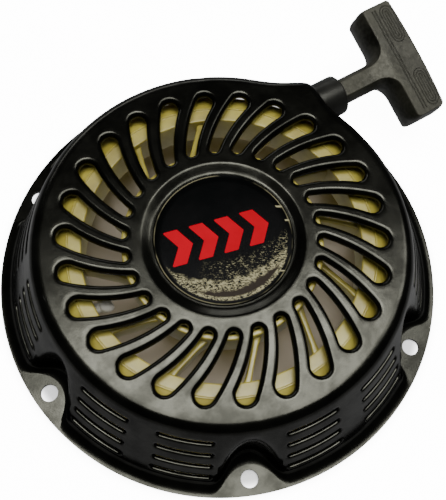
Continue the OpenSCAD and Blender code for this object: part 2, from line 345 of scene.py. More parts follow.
def tube(mesh: Mesh, path: Points, radius: float, sides: int) -> None:
    """Sweeps a round section along a path, with closed ends.

    Args:
        mesh: The mesh that grows.
        path: The middle line's points.
        radius: The tube's radius.
        sides: How many sides its section has.
    """
    tangent = unit(np.gradient(path, axis=0))
    up = np.array([0.0, 0.0, 1.0]) if abs(tangent[0][2]) < 0.9 else np.array([1.0, 0.0, 0.0])
    rings = []
    for here, along in zip(path, tangent):
        side = np.cross(up, along)
        side /= np.linalg.norm(side)
        up = np.cross(along, side)
        angle = np.arange(sides)[:, None] * 2 * math.pi / sides
        rings.append(here + radius * (np.cos(angle) * side + np.sin(angle) * up))
    mesh.closed_grid(np.array(rings))


def modifier(piece: Piece, kind: str, **values: object) -> bpy.types.Modifier:
    """Adds a modifier and sets its values.

    Args:
        piece: The object.
        kind: The modifier's type.
        **values: Its settings.

    Returns:
        The modifier.
    """
    added = piece.modifiers.new(kind.lower(), kind)
    for key, value in values.items():
        setattr(added, key, value)
    return added


def soften(piece: Piece, width: float, angle: float = 35, segments: int = 2) -> None:
    """Rounds a piece's sharp edges.

    Args:
        piece: The object.
        width: The rounding's width in millimetres.
        angle: Edges sharper than this many degrees are rounded.
        segments: How many strips a rounding has.
    """
    modifier(
        piece,
        "BEVEL",
        width=width * MM,
        segments=segments,
        limit_method="ANGLE",
        angle_limit=math.radians(angle),
        harden_normals=True,
        use_clamp_overlap=True,
    )


def settle(piece: Piece) -> None:
    """Applies every modifier of a piece, so that its mesh is final.

    Args:
        piece: The object.
    """
    graph = bpy.context.evaluated_depsgraph_get()
    final = bpy.data.meshes.new_from_object(piece.evaluated_get(graph))
    piece.modifiers.clear()
    piece.data = final


# ---------------------------------------------------------------- shader helpers


class Shader:
    """A material or node group under construction, with short calls for its nodes."""

    def __init__(self, tree: bpy.types.NodeTree) -> None:
        """Takes over a node tree.

        Args:
            tree: The tree that the nodes go in.
        """
        self.tree = tree

    def node(self, kind: str, **settings: object) -> bpy.types.Node:
        """Adds a node.

        Args:
            kind: The node's type, without its ShaderNode prefix.
            **settings: Properties of the node.

        Returns:
            The node.
        """
        made = self.tree.nodes.new("ShaderNode" + kind)
        for key, value in settings.items():
            setattr(made, key, value)
        return made

    def feed(self, socket: Socket, value: object) -> None:
        """Links a socket, or sets its value.

        Args:
            socket: The input.
            value: An output socket, or a number or colour.
        """
        if isinstance(value, Socket):
            self.tree.links.new(value, socket)
        else:
            socket.default_value = value

    def math(self, operation: str, a: object, b: object = 0.0, c: object = 0.0) -> Socket:
        """A sum on values.

        Args:
            operation: The Math node's operation.
            a: The first value or socket.
            b: The second.
            c: The third.

        Returns:
            The result's socket.
        """
        made = self.node("Math", operation=operation)
        for socket, value in zip(made.inputs, (a, b, c)):
            self.feed(socket, value)
        return made.outputs[0]

    def times(self, a: object, b: object) -> Socket:
        """Two values multiplied."""
        return self.math("MULTIPLY", a, b)

    def plus(self, a: object, b: object) -> Socket:
        """Two values added."""
        return self.math("ADD", a, b)

    def minus(self, a: object, b: object) -> Socket:
        """The first value less the second."""
        return self.math("SUBTRACT", a, b)

    def higher(self, a: object, b: object) -> Socket:
        """The higher of two values."""
        return self.math("MAXIMUM", a, b)

    def unsigned(self, a: object) -> Socket:
        """A value without its sign."""
        return self.math("ABSOLUTE", a)

    def ramp(
        self, value: object, low: float, high: float, out_low: float = 0, out_high: float = 1
    ) -> Socket:
        """Maps a range of values smoothly to another.

        Args:
            value: The value or socket.
            low: Where the range starts.
            high: Where it ends.
            out_low: The result at the start.
            out_high: The result at the end.

        Returns:
            The result's socket.
        """
        made = self.node("MapRange", interpolation_type="SMOOTHSTEP")
        for index, item in enumerate((value, low, high, out_low, out_high)):
            self.feed(made.inputs[index], item)
        return made.outputs[0]

    def mix(self, mask: object, a: object, b: object) -> Socket:
        """Mixes two colours.

        Args:
            mask: How much of the second.
            a: The first colour or socket.
            b: The second.

        Returns:
            The mixed colour's socket.
        """
        made = self.node("Mix", data_type="RGBA")
        self.feed(made.inputs["Factor"], mask)
        self.feed([s for s in made.inputs if s.name == "A" and s.type == "RGBA"][0], a)
        self.feed([s for s in made.inputs if s.name == "B" and s.type == "RGBA"][0], b)
        return [s for s in made.outputs if s.type == "RGBA"][0]

    def noise(
        self, place: object, scale: object, detail: float = 3, roughness: float = 0.5
    ) -> Socket:
        """A noise value.

        Args:
            place: The coordinates' socket.
            scale: Cells to a metre.
            detail: Layers of finer noise.
            roughness: How strong the finer layers are.

        Returns:
            The value's socket.
        """
        made = self.node("TexNoise")
        self.feed(made.inputs["Vector"], place)
        self.feed(made.inputs["Scale"], scale)
        made.inputs["Detail"].default_value = detail
        made.inputs["Roughness"].default_value = roughness
        return made.outputs["Fac"]

    def place(self) -> Socket:
        """The object coordinates' socket, in metres."""
        return self.node("TexCoord").outputs["Object"]

    def bump(self, height: object, strength: float, distance: float) -> Socket:
        """Turns a height into a normal.

        Args:
            height: The height's socket.
            strength: From 0 to 1.
            distance: What a height of 1 means, in metres.

        Returns:
            The normal's socket.
        """
        made = self.node("Bump")
        made.inputs["Strength"].default_value = strength
        made.inputs["Distance"].default_value = distance
        self.feed(made.inputs["Height"], height)
        return made.outputs["Normal"]


def opened(material: bpy.types.Material) -> tuple[Shader, bpy.types.Node]:
    """Opens a material for editing.

    Args:
        material: The material.

    Returns:
        Its tree and its main shader node.
    """
    material.use_nodes = True
    return Shader(material.node_tree), material.node_tree.nodes["Principled BSDF"]


def group(
    name: str,
    inputs: dict[str, float],
    outputs: Sequence[str],
    fill: Callable[[Shader, Sockets], Sockets],
) -> bpy.types.NodeTree:
    """Builds a shader node group once.

    Args:
        name: The group's name.
        inputs: Each input value's name and its default.
        outputs: The names of the output values.
        fill: Makes the nodes from the inputs' sockets, and returns the outputs' sockets.

    Returns:
        The node group.
    """
    tree = bpy.data.node_groups.new(name, "ShaderNodeTree")
    for key, value in inputs.items():
        socket = tree.interface.new_socket(key, in_out="INPUT", socket_type="NodeSocketFloat")
        socket.default_value = value
    for key in outputs:
        tree.interface.new_socket(key, in_out="OUTPUT", socket_type="NodeSocketFloat")
    source = tree.nodes.new("NodeGroupInput")
    target = tree.nodes.new("NodeGroupOutput")
    made = fill(Shader(tree), {key: source.outputs[key] for key in inputs})
    for key, socket in made.items():
        tree.links.new(socket, target.inputs[key])
    return tree


def fill_grain(work: Shader, given: Sockets) -> Sockets:
    """Fills the surface grain group: a fine skin over a slow waviness.

    Args:
        work: The group's tree.
        given: Sockets Fine and Wave, in cells to a metre, and Share, the wave's part.

    Returns:
        The Height output.
    """
    place = work.place()
    fine = work.noise(place, given["Fine"], 4, 0.55)
    wave = work.noise(place, given["Wave"], 2, 0.5)
    part = work.times(wave, given["Share"])
    return {"Height": work.plus(fine, part)}


def fill_dust_and_sheen(work: Shader, given: Sockets) -> Sockets:
    """Fills the dust and sheen group: a patchy film that lies on faces that look up, partly dust and partly a
    painted sheen.

    Args:
        work: The group's tree.
        given: Socket Amount, the film's greatest strength.

    Returns:
        The Mask output.
    """
    normal = work.node("NewGeometry").outputs["Normal"]
    split = work.node("SeparateXYZ")
    work.feed(split.inputs[0], normal)
    upward = work.ramp(split.outputs[2], 0.3, 1.0)
    patches = work.ramp(work.noise(work.place(), 38, 5, 0.62), 0.35, 0.72)
    specks = work.ramp(work.noise(work.place(), 1500, 2, 0.5), 0.62, 0.7)
    film = work.times(upward, work.plus(work.times(patches, 0.85), specks))
    return {"Mask": work.times(film, given["Amount"])}


def fill_edge_wear_and_highlight(work: Shader, given: Sockets) -> Sockets:
    """Fills the edge wear and highlight group: a broken mask along outer edges, wear on the pawls and, on the
    grip, both wear and a painted highlight along its rims.

    Args:
        work: The group's tree.
        given: Sockets Low and High, the pointiness where wear starts and is full.

    Returns:
        The Mask output.
    """
    point = work.node("NewGeometry").outputs["Pointiness"]
    broken = work.times(work.minus(work.noise(work.place(), 420, 4, 0.6), 0.5), 0.05)
    sum_ = work.plus(point, broken)
    made = work.node("MapRange")
    for index, item in enumerate((sum_, given["Low"], given["High"])):
        work.feed(made.inputs[index], item)
    return {"Mask": made.outputs[0]}


def fill_scratches(work: Shader, given: Sockets) -> Sockets:
    """Fills the scratch group: thin broken lines in two directions.

    Args:
        work: The group's tree.
        given: Socket Density, how many of the lines show, from 0 to 1.

    Returns:
        The Mask output.
    """
    place = work.place()
    masks = []
    for turn in (0.4, 1.9):
        mapping = work.node("Mapping")
        mapping.inputs["Rotation"].default_value = (0, 0, turn)
        mapping.inputs["Scale"].default_value = (900, 40, 40)
        work.feed(mapping.inputs["Vector"], place)
        masks.append(work.noise(mapping.outputs[0], 1.0, 1, 0.4))
    strongest = work.higher(masks[0], masks[1])
    limit = work.minus(0.86, work.times(given["Density"], 0.14))
    over = work.minus(strongest, limit)
    return {"Mask": work.ramp(over, 0.0, 0.03)}


def fill_label_wear(work: Shader, given: Sockets) -> Sockets:
    """Fills the label wear group: rim line, scuffed bands and the bare patch between them.

    Args:
        work: The group's tree.
        given: Socket Turn, the label's turn about Z in radians.

    Returns:
        The Pale and Bare outputs.
    """
    turn = work.node("VectorRotate", rotation_type="Z_AXIS")
    work.feed(turn.inputs["Vector"], work.place())
    work.feed(turn.inputs["Angle"], given["Turn"])
    split = work.node("SeparateXYZ")
    work.feed(split.inputs[0], turn.outputs[0])
    x = work.times(split.outputs[0], 1000.0)
    y = work.times(split.outputs[1], 1000.0)
    r = work.math("SQRT", work.plus(work.times(x, x), work.times(y, y)))
    stray = work.times(work.minus(work.noise(work.place(), 160, 4, 0.6), 0.5), 7.0)
    # depth below a bowed line across the label's lower part
    curved = work.math("MULTIPLY_ADD", work.times(x, x), -0.0149, work.times(x, -0.155))
    bow = work.plus(22.0, curved)
    depth = work.plus(work.math("MULTIPLY_ADD", y, -1.0, work.times(bow, -1.0)), stray)
    streaks = work.node("Mapping")
    streaks.inputs["Rotation"].default_value = (0, 0, -0.3)
    streaks.inputs["Scale"].default_value = (0.4, 1.0, 1.0)
    work.feed(streaks.inputs["Vector"], turn.outputs[0])
    clumps = work.times(work.minus(work.noise(work.place(), 330, 3, 0.6), 0.5), 0.35)
    flecks = work.plus(work.noise(streaks.outputs[0], 1900, 4, 0.75), clumps)
    speckle = work.ramp(flecks, 0.45, 0.53)
    sparse = work.ramp(flecks, 0.56, 0.62)

    def band(value: Socket, middle: float, half: float, soft: float) -> Socket:
        """1 within a distance of a value, falling to 0 over a soft edge."""
        off = work.unsigned(work.minus(value, middle))
        return work.ramp(off, half, half + soft, 1, 0)

    inside = work.ramp(r, 27.6, 28.6, 1, 0)
    main = work.times(work.times(band(depth, 0.0, 1.6, 1.6), speckle), inside)
    faint = work.times(band(depth, -6.5, 2.6, 3.0), sparse)
    faint = work.times(faint, work.times(work.ramp(x, -13.0, 4.0), inside))
    lower = work.times(work.ramp(depth, 0.8, 2.0), band(r, 27.9, 0.5, 0.6))
    lower = work.times(lower, speckle)
    bare = work.times(work.ramp(depth, 1.2, 2.6), work.ramp(r, 27.0, 27.9, 1, 0))
    broken = work.ramp(work.noise(work.place(), 60, 3, 0.6), 0.36, 0.56)
    ring = work.times(band(r, 30.25, 0.1, 0.22), broken)
    nicks: object = 0.0
    for height, half, soft, reach, long_ in (
        (15.4, 0.25, 0.35, 29.2, 1.0), (8.8, 0.2, 0.35, 29.6, 0.7), (-15.0, 0.12, 0.3, 29.3, 0.9)
    ):  # fmt: skip
        nicks = work.higher(nicks, work.times(band(y, height, half, soft), band(r, reach, long_, 0.4)))
    nicks = work.times(nicks, work.ramp(x, 5.0, 10.0))
    pale = work.higher(work.higher(main, lower), work.times(faint, 0.7))
    pale = work.higher(pale, work.higher(work.times(ring, 0.5), nicks))
    return {"Pale": pale, "Bare": bare}


def fill_grip_grooves(work: Shader, given: Sockets) -> Sockets:
    """Fills the grip groove group: two lines along the crossbar and nested loops at its ends.

    Args:
        work: The group's tree.
        given: Sockets Along and Across, in millimetres from the crossbar's middle.

    Returns:
        The Groove output.
    """

    def line(distance: Socket, half: float) -> Socket:
        """1 on a line, falling to 0 at some distance from it."""
        return work.ramp(work.unsigned(distance), half * 0.4, half, 1, 0)

    across, along = work.unsigned(given["Across"]), given["Along"]
    ends = work.ramp(across, 27.0, 27.6, 1, 0)
    pair = work.higher(line(work.plus(along, 3.7), 0.4), line(work.plus(along, 2.2), 0.4))
    # distance from a loop's middle stretch, which gives rounded loops when it is cut in steps
    beyond = work.higher(work.minus(work.unsigned(work.minus(across, 17.8)), 6.4), 0.0)
    off = work.minus(along, 3.1)
    distance = work.math("SQRT", work.plus(work.times(beyond, beyond), work.times(off, off)))
    wave = work.unsigned(work.minus(work.math("FRACT", work.math("DIVIDE", distance, 1.35)), 0.5))
    loops = work.times(work.ramp(wave, 0.1, 0.24, 1, 0), work.ramp(distance, 4.0, 4.1, 1, 0))
    return {"Groove": work.higher(work.times(pair, ends), loops)}


class Groups:
    """The shader node groups that several materials share."""

    def __init__(self) -> None:
        """Builds each group once."""
        grain = {"Fine": 2500.0, "Wave": 90.0, "Share": 1.0}
        self.grain = group("surface_grain", grain, ["Height"], fill_grain)
        self.dust_and_sheen = group("dust_and_sheen_film", {"Amount": 0.2}, ["Mask"], fill_dust_and_sheen)
        self.wear = group("edge_wear_and_highlight", {"Low": 0.53, "High": 0.6}, ["Mask"], fill_edge_wear_and_highlight)
        self.label = group("label_wear", {"Turn": 0.53}, ["Pale", "Bare"], fill_label_wear)
        place = {"Along": 0.0, "Across": 0.0}
        self.grooves = group("grip_grooves", place, ["Groove"], fill_grip_grooves)
        self.scratches = group("scratches", {"Density": 0.3}, ["Mask"], fill_scratches)

    def use(self, work: Shader, tree: bpy.types.NodeTree, **values: object) -> bpy.types.Node:
        """Places a group in a material.

        Args:
            work: The material's tree.
            tree: The group.
            **values: Its inputs by name, with a capital first letter.

        Returns:
            The group's node.
        """
        made = work.node("Group")
        made.node_tree = tree
        for key, value in values.items():
            work.feed(made.inputs[key], value)
        return made


@dataclass(frozen=True)
class Finish:
    """One surface finish, made of a base colour, gloss, skin, dust with a painted sheen, wear (on the grip
    partly a painted edge highlight) and scratches.

    Attributes:
        name: The material's name.
        color: The base colour, linear.
        second: The colour that it varies towards in patches.
        roughness: The gloss, from 0 for a mirror to 1.
        patchy: How much the roughness varies.
        metallic: 1 for bare metal.
        fine: Grain cells to a metre.
        grain: Depth of the grain in metres.
        wave: Share of the slow waviness in the grain.
        dust_and_sheen: Strength of the dust film, which is partly a painted sheen on faces that look up.
        wear: Strength of the lighter edges, which on the grip are partly a painted highlight.
        wear_color: The colour of the worn edges.
        scratch: How many scratches show.
        soft: Weight of light that scatters inside.
        gloss: Strength of the reflection; 0.5 is that of plain plastic.
        tint: Colour of the reflection.
        mottle: Share of the reflection that comes and goes in spots.
        spots: Spots to a metre.
    """

    name: str
    color: Color
    second: Color
    roughness: float = 0.4
    patchy: float = 0.08
    metallic: float = 0.0
    fine: float = 2500.0
    grain: float = 0.00002
    wave: float = 1.0
    dust_and_sheen: float = 0.0
    wear: float = 0.0
    wear_color: Color = (0.3, 0.3, 0.28)
    scratch: float = 0.0
    soft: float = 0.0
    gloss: float = 0.5
    tint: Color = (1.0, 1.0, 1.0)
    mottle: float = 0.0
    spots: float = 100.0

    def build(self, groups: Groups) -> bpy.types.Material:
        """Makes the material.

        Args:
            groups: The shared node groups.

        Returns:
            The material.
        """
        material = bpy.data.materials.new(self.name)
        work, shader = opened(material)
        place = work.place()
        patches = work.noise(place, 55, 4, 0.6)
        color = work.mix(work.ramp(patches, 0.35, 0.7), (*self.color, 1), (*self.second, 1))
        uneven = work.times(work.minus(patches, 0.5), 2 * self.patchy)
        rough = work.plus(self.roughness, uneven)
        if self.scratch:
            lines = groups.use(work, groups.scratches, Density=self.scratch).outputs[0]
            color = work.mix(work.times(lines, 0.35), color, (*self.wear_color, 1))
            rough = work.plus(rough, work.times(lines, 0.15))
        # lighter edges: wear, and on the grip also a painted highlight along its rims
        if self.wear:
            edges = groups.use(work, groups.wear, Low=0.53, High=0.62).outputs[0]
            edges = work.times(edges, self.wear)
            color = work.mix(edges, color, (*self.wear_color, 1))
        # film on faces that look up: dust, and partly a painted sheen
        if self.dust_and_sheen:
            film = groups.use(work, groups.dust_and_sheen, Amount=self.dust_and_sheen).outputs[0]
            color = work.mix(film, color, (*DUST_AND_SHEEN, 1))
            rough = work.plus(rough, work.times(film, 0.5))
        work.feed(shader.inputs["Base Color"], color)
        work.feed(shader.inputs["Roughness"], rough)
        for key, value in (
            ("Metallic", self.metallic),
            ("Specular IOR Level", self.gloss),
            ("Specular Tint", (*self.tint, 1)),
            ("Subsurface Weight", self.soft),
            ("Subsurface Radius", (0.004, 0.003, 0.0015)),
            ("Subsurface Scale", 1.0),
        ):
            work.feed(shader.inputs[key], value)
        if self.mottle:
            spots = work.noise(place, self.spots, 4, 0.65)
            low, high = self.gloss * (1 - self.mottle), self.gloss * (1 + self.mottle)
            work.feed(shader.inputs["Specular IOR Level"], work.ramp(spots, 0.33, 0.67, low, high))
        skin = groups.use(work, groups.grain, Fine=self.fine, Wave=90.0, Share=self.wave)
        work.feed(shader.inputs["Normal"], work.bump(skin.outputs[0], 1.0, self.grain))
        return material


@dataclass(frozen=True)
class LabelFinish(Finish):
    """The printed label's finish, worn through to its pale and bare layers.

    Attributes:
        turn: The label's turn about Z, in radians.
        pale: Colour of the scuffed print.
        bare: Colour of the rubbed patch.
    """

    turn: float = 0.53
    pale: Color = (0.255, 0.234, 0.135)
    bare: Color = (0.0165, 0.012, 0.0078)

    def build(self, groups: Groups) -> bpy.types.Material:
        """Makes the material; see Finish.build."""
        material = super().build(groups)
        work, shader = opened(material)
        wear = groups.use(work, groups.label, Turn=self.turn)
        base = shader.inputs["Base Color"].links[0].from_socket
        rough = shader.inputs["Roughness"].links[0].from_socket
        bared = work.mix(wear.outputs["Bare"], base, (*self.bare, 1))
        work.feed(shader.inputs["Base Color"], work.mix(wear.outputs["Pale"], bared, (*self.pale, 1)))
        rougher = work.times(wear.outputs["Pale"], 0.3)
        work.feed(shader.inputs["Roughness"], work.plus(rough, rougher))
        return material


@dataclass(frozen=True)
class GripFinish(Finish):
    """The grip's finish, with its moulded grooves as a bump darkened by painted shade.

    Attributes:
        roll: The grip's roll about the pull line, in radians.
        middle: The crossbar's middle in metres.
        depth: How deep the grooves are, in metres.
    """

    roll: float = 0.2775
    middle: tuple[float, float, float] = (0.130, 0.0434, 0.030)
    depth: float = 0.0004

    def build(self, groups: Groups) -> bpy.types.Material:
        """Makes the material; see Finish.build."""
        material = super().build(groups)
        work, shader = opened(material)
        local = work.node("Mapping", vector_type="TEXTURE")
        local.inputs["Location"].default_value = self.middle
        local.inputs["Rotation"].default_value = (self.roll, 0, 0)
        local.inputs["Scale"].default_value = (MM, MM, MM)
        work.feed(local.inputs["Vector"], work.place())
        split = work.node("SeparateXYZ")
        work.feed(split.inputs[0], local.outputs[0])
        grooves = groups.use(work, groups.grooves, Along=split.outputs[0], Across=split.outputs[1])
        flat = work.ramp(work.unsigned(split.outputs[2]), 8.8, 9.2)
        mask = work.times(grooves.outputs[0], flat)
        base = shader.inputs["Base Color"].links[0].from_socket
        # painted shade: the grooves, which are only a bump and not cut in the mesh, are darkened as if shaded
        groove_shaded = work.mix(work.times(mask, 0.75), base, (*GROOVE_SHADE, 1))
        work.feed(shader.inputs["Base Color"], groove_shaded)
        bump = work.node("Bump")
        bump.invert = True
        bump.inputs["Strength"].default_value = 1.0
        bump.inputs["Distance"].default_value = self.depth
        work.feed(bump.inputs["Height"], mask)
        work.feed(bump.inputs["Normal"], shader.inputs["Normal"].links[0].from_socket)
        work.feed(shader.inputs["Normal"], bump.outputs[0])
        return material


class Body(Enum):
    """The rigid bodies that pieces ride on."""

    ROOT = "root"
    REEL = "reel"
    GUIDE = "guide"
    PAWL_A = "pawl_a"
    PAWL_B = "pawl_b"
    GRIP = "grip"


@dataclass
class Kit:
    """The node groups and finished materials, by slot name."""

    groups: Groups
    materials: dict[str, bpy.types.Material]
    red: bpy.types.Material

    def dress(
        self,
        piece: Piece,
        slot: str,
        body: Body | None,
        stands_for: Sequence[str] = (),
        material: bpy.types.Material | None = None,
    ) -> Piece:
        """Gives a piece its material and its body, and hides the frame's nodes that it replaces.

        Args:
            piece: The object.
            slot: The record's material slot.
            body: The body it rides on, or None for a piece left on no body.
            stands_for: The frame's nodes that it replaces.
            material: Its material, if it isn't the slot's.

        Returns:
            The same object.
        """
        piece.data.materials.clear()
        piece.data.materials.append(material or self.materials[slot])
        if body:
            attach(piece, body.value)
        if stands_for:
            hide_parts(*stands_for)
        LOG.info("%s: %d faces", piece.name, len(piece.data.polygons))
        return piece


# ---------------------------------------------------------------- the case


@dataclass(frozen=True)
class SlotShape:
    """The curved air slot of the case's top face.

    Attributes:
        count: Slots round the face.
        far: Radius at the middle of the wide end.
        near: Radius at the middle of the narrow end.
        far_w: Width at the wide end.
        near_w: Width at the narrow end.
        phase: Angle of the first slot at one radius.
        phase_at: That radius.
        twist: Degrees that a slot turns for each millimetre inwards.
        lip: How far the rolled lip reaches past the opening.
        drop: How deep the lip is rolled.
    """

    count: int = 26
    far: float = 68.9
    near: float = 44.3
    far_w: float = 7.8
    near_w: float = 4.2
    phase: float = 10.4
    phase_at: float = 71.0
    twist: float = 0.485
    lip: float = 2.2
    drop: float = 2.6

    def turn(self, r: Points) -> Points:
        """The middle line's angle at a radius.

        Args:
            r: Radii.

        Returns:
            Angles in degrees.
        """
        return self.phase + self.twist * (self.phase_at - np.asarray(r, float))

    def middle(self, r: Points) -> Points:
        """The middle line's points at some radii.

        Args:
            r: Radii.

        Returns:
            x and y, one point a row.
        """
        return polar(np.asarray(r, float), self.turn(r), 0.0)[..., :2]

    def heading(self, r: Points) -> Points:
        """The middle line's direction at a radius.

        Args:
            r: Radii.

        Returns:
            Angles in radians.
        """
        step = self.middle(np.asarray(r) + 0.5) - self.middle(np.asarray(r) - 0.5)
        return np.arctan2(step[..., 1], step[..., 0])

    def outline(self, grow: float, along: int, across: int) -> Points:
        """The slot's outline, grown by some millimetres.

        Args:
            grow: How far outside the opening the outline runs.
            along: Segments on each long side.
            across: Segments round each end.

        Returns:
            x and y round the loop, from the narrow end up the first side.
        """
        r = np.linspace(self.near, self.far, along + 1)
        share = (r - self.near) / (self.far - self.near)
        half = (self.near_w + (self.far_w - self.near_w) * share) / 2 + grow
        h = self.heading(r)
        normal = np.stack([-np.sin(h), np.cos(h)], -1)
        left = self.middle(r) + half[:, None] * normal
        right = self.middle(r) - half[:, None] * normal
        swing = np.linspace(math.pi / 2, -math.pi / 2, across + 1)
        ahead, behind = h[-1] + swing, h[0] + math.pi + swing
        tip = self.middle(self.far) + half[-1] * np.stack([np.cos(ahead), np.sin(ahead)], -1)
        heel = self.middle(self.near) + half[0] * np.stack([np.cos(behind), np.sin(behind)], -1)
        return np.vstack([left[:-1], tip[:-1], right[::-1][:-1], heel[:-1]])


# strips of the wall in one sector: where each starts from its bolt hole, its columns of quads,
# and whether louvres lie in it
STRIPS = ((0.0, 7, False), (8.6, 16, True), (27.2, 6, False), (32.8, 16, True), (51.4, 7, False))
SECTORS = 6
SECTOR = 60.0


@dataclass
class CaseShell:
    """The pressed steel case: slotted face, flared louvred wall, bolt pockets and flange.

    Attributes:
        height: Height of the face over the mounting face.
        sheet: Thickness of the steel.
        shoulder: Wall radius where it meets the shoulder.
        flare: Wall radius gained for each millimetre down.
        flange: The flange's outer radius.
        bolt_circle: Radius of the circle of bolt holes.
        bolt_first: Angle of the first bolt hole.
        bolt_hole: Radius of a bolt hole.
        pocket: Radius of a bolt pocket.
        pocket_turn: Distance beside the hole where a pocket's round wall turns straight.
        pocket_foot: Radius of the fillet at a pocket's foot.
        lobe_end: Distance from the axis to the rope exit's end face, at the shoulder.
        lobe_side: Distance from the axis to the exit's far side.
        shoulder_bend: Radius of the rounded shoulder.
        foot_bend: Radius of the fillet at the plain wall's foot.
        face_in: Radius where the slotted part of the face starts.
        face_out: Radius where it ends.
        columns: Columns of quads round the case.
        wall_low: Height where the wall ends in the foot's fillet.
        louvre_top: Height of the highest louvre's middle.
        louvre_step: Height from one louvre to the next.
        louvre_rows: Rows of quads to a louvre.
        louvre_w: Half of a louvre's width, in degrees at its height.
        louvre_h: Half of its height.
        louvre_lip: How far its lip reaches past the slit.
        louvre_depth: How deep its lip turns in.
        slots: The face's slots.
    """

    height: float = 46.5
    sheet: float = 1.5
    shoulder: float = 84.1
    flare: float = 0.433
    flange: float = 107.4
    bolt_circle: float = 100.0
    bolt_first: float = 7.1
    bolt_hole: float = 4.0
    pocket: float = 13.6
    pocket_turn: float = 11.6
    pocket_foot: float = 7.5
    lobe_end: float = 78.6
    lobe_side: float = 79.6
    shoulder_bend: float = 6.0
    foot_bend: float = 6.5
    face_in: float = 38.0
    face_out: float = 77.2
    columns: int = 312
    wall_low: float = 5.0
    louvre_top: float = 36.5
    louvre_step: float = 9.2
    louvre_rows: int = 8
    louvre_w: float = 8.0
    louvre_h: float = 1.55
    louvre_lip: float = 0.65
    louvre_depth: float = 1.3
    slots: SlotShape = SlotShape()

    def sector_columns(self) -> Points:
        """Angles of one sector's columns from its bolt hole, closer beside the louvres."""
        ends = [start for start, _, _ in STRIPS[1:]] + [SECTOR]
        return np.concatenate([
            np.linspace(start, end, columns, endpoint=False) for (start, columns, _), end in zip(STRIPS, ends)
        ])  # fmt: skip

    def wall_angles(self) -> Points:
        """Angles of all columns on the wall, from the first bolt hole."""
        sector = self.sector_columns()
        return np.concatenate([self.bolt_first + SECTOR * k + sector for k in range(SECTORS)])

    def cone(self, z: Points) -> Points:
        """The plain wall's radius at a height."""
        return self.shoulder + self.flare * (self.height - 3 - z)

    def wall_radius(self, degrees: Points, z: Points) -> Points:
        """The outer wall's radius, with its bolt pockets and the lobe of the rope exit.

        Args:
            degrees: Angles.
            z: Heights, from wall_low up.

        Returns:
            Radii.
        """
        degrees, z = np.broadcast_arrays(np.asarray(degrees, float), np.asarray(z, float))
        cone = self.cone(z)
        angle = np.radians(degrees)
        # the lobe: an end face across the pull and a far side that runs back to the wall
        down = self.height - 3 - z
        end = (self.lobe_end + 0.21 * down) / np.maximum(np.cos(angle), 0.2)
        across = 0.45 * np.cos(angle) + 0.893 * np.sin(angle)
        side = (self.lobe_side + 0.25 * down) / np.maximum(across, 0.2)
        lobe = smooth_min(end, side, 5.0)
        near = (degrees > 0) & (degrees < 62)
        shell = np.where(near, smooth_max(cone, lobe, 3.0), cone)
        # the pockets: round about the hole, with sides that open outwards
        away = self.from_hole(degrees)
        y = np.abs(self.bolt_circle * np.sin(np.radians(away)))
        turn, foot_r = self.pocket_turn, self.pocket_foot
        flat = self.bolt_circle - np.sqrt(self.pocket**2 - np.minimum(y, turn) ** 2)
        slope = turn / math.sqrt(self.pocket**2 - turn**2)
        inner = (flat + np.maximum(y - turn, 0) * slope) / np.cos(np.radians(away))
        foot = np.maximum(self.sheet + foot_r - z, 0)
        inner = inner + foot_r - np.sqrt(foot_r**2 - np.minimum(foot, foot_r - 0.1) ** 2)
        return smooth_min(shell, inner, 2.5 + 0.2 * np.maximum(18 - z, 0))

    def from_hole(self, degrees: Points) -> Points:
        """Angles from the nearest bolt hole."""
        return (degrees - self.bolt_first + SECTOR / 2) % SECTOR - SECTOR / 2

    def pocket_share(self, degrees: Points) -> Points:
        """How much of a pocket a column is in, from 0 on the plain wall to 1."""
        return eased(np.clip((9.5 - np.abs(self.from_hole(degrees))) / 4, 0, 1))

    def face(self, mesh: Mesh) -> None:
        """The slotted part of the face: each slot in its own cell of quads.

        Args:
            mesh: The mesh that grows.
        """
        along, across = 22, self.columns // self.slots.count
        half = 180 / self.slots.count
        r = np.linspace(self.face_in, self.face_out, along + 1)
        a = np.linspace(half, -half, across + 1)
        border = rim_of(np.stack(np.meshgrid(r, a), -1))
        rings = []
        for step in np.linspace(0, 90, 8):
            grow = self.slots.lip * (1 - math.cos(math.radians(step)))
            sink = self.slots.drop * (1 - math.sin(math.radians(step)))
            line = self.slots.outline(grow, along, across)
            rings.append(np.column_stack([line, np.full(len(line), self.height - sink)]))
        # the flat part is filled in the slot's own frame: radius, and angle from its middle line
        reach = np.hypot(line[:, 0], line[:, 1])
        off = np.degrees(np.arctan2(line[:, 1], line[:, 0])) - self.slots.turn(reach)
        edge = np.column_stack([reach, (off + 180) % 360 - 180])
        for share in (0.3, 0.65, 1.0):
            mixed = edge + (border - edge) * share
            rings.append(polar(mixed[:, 0], self.slots.turn(mixed[:, 0]) + mixed[:, 1], self.height))
        bottom = rings[0].copy()
        bottom[:, 2] -= 0.5
        cell = np.array([bottom, *rings])
        for k in range(self.slots.count):
            mesh.grid(turned(cell, k * 360 / self.slots.count)[:, ::-1], wrap=True)

    def middle(self, mesh: Mesh) -> None:
        """The plain ring inside the slots and the sunk middle.

        Args:
            mesh: The mesh that grows.
        """
        top = self.height
        profile = np.array([
            [self.face_in, top], [37.3, top], [36.5, top], [36.2, top - 0.04], [35.85, top - 0.14],
            [35.5, top - 0.3], [34.5, top - 0.8], [33.5, top - 1.3], [32.6, top - 1.75], [32.3, top - 1.87],
            [31.95, top - 1.96], [31.5, top - 2], [24.0, top - 2], [16.0, top - 2], [9.0, top - 2],
        ])  # fmt: skip
        turn = self.slots.turn(self.face_in) - 180 / self.slots.count
        angles = turn + np.arange(self.columns) * 360 / self.columns
        numbers = mesh.grid(polar(profile[:, :1], angles[None, :], profile[:, 1:2]), wrap=True)
        mesh.cap(numbers[-1])

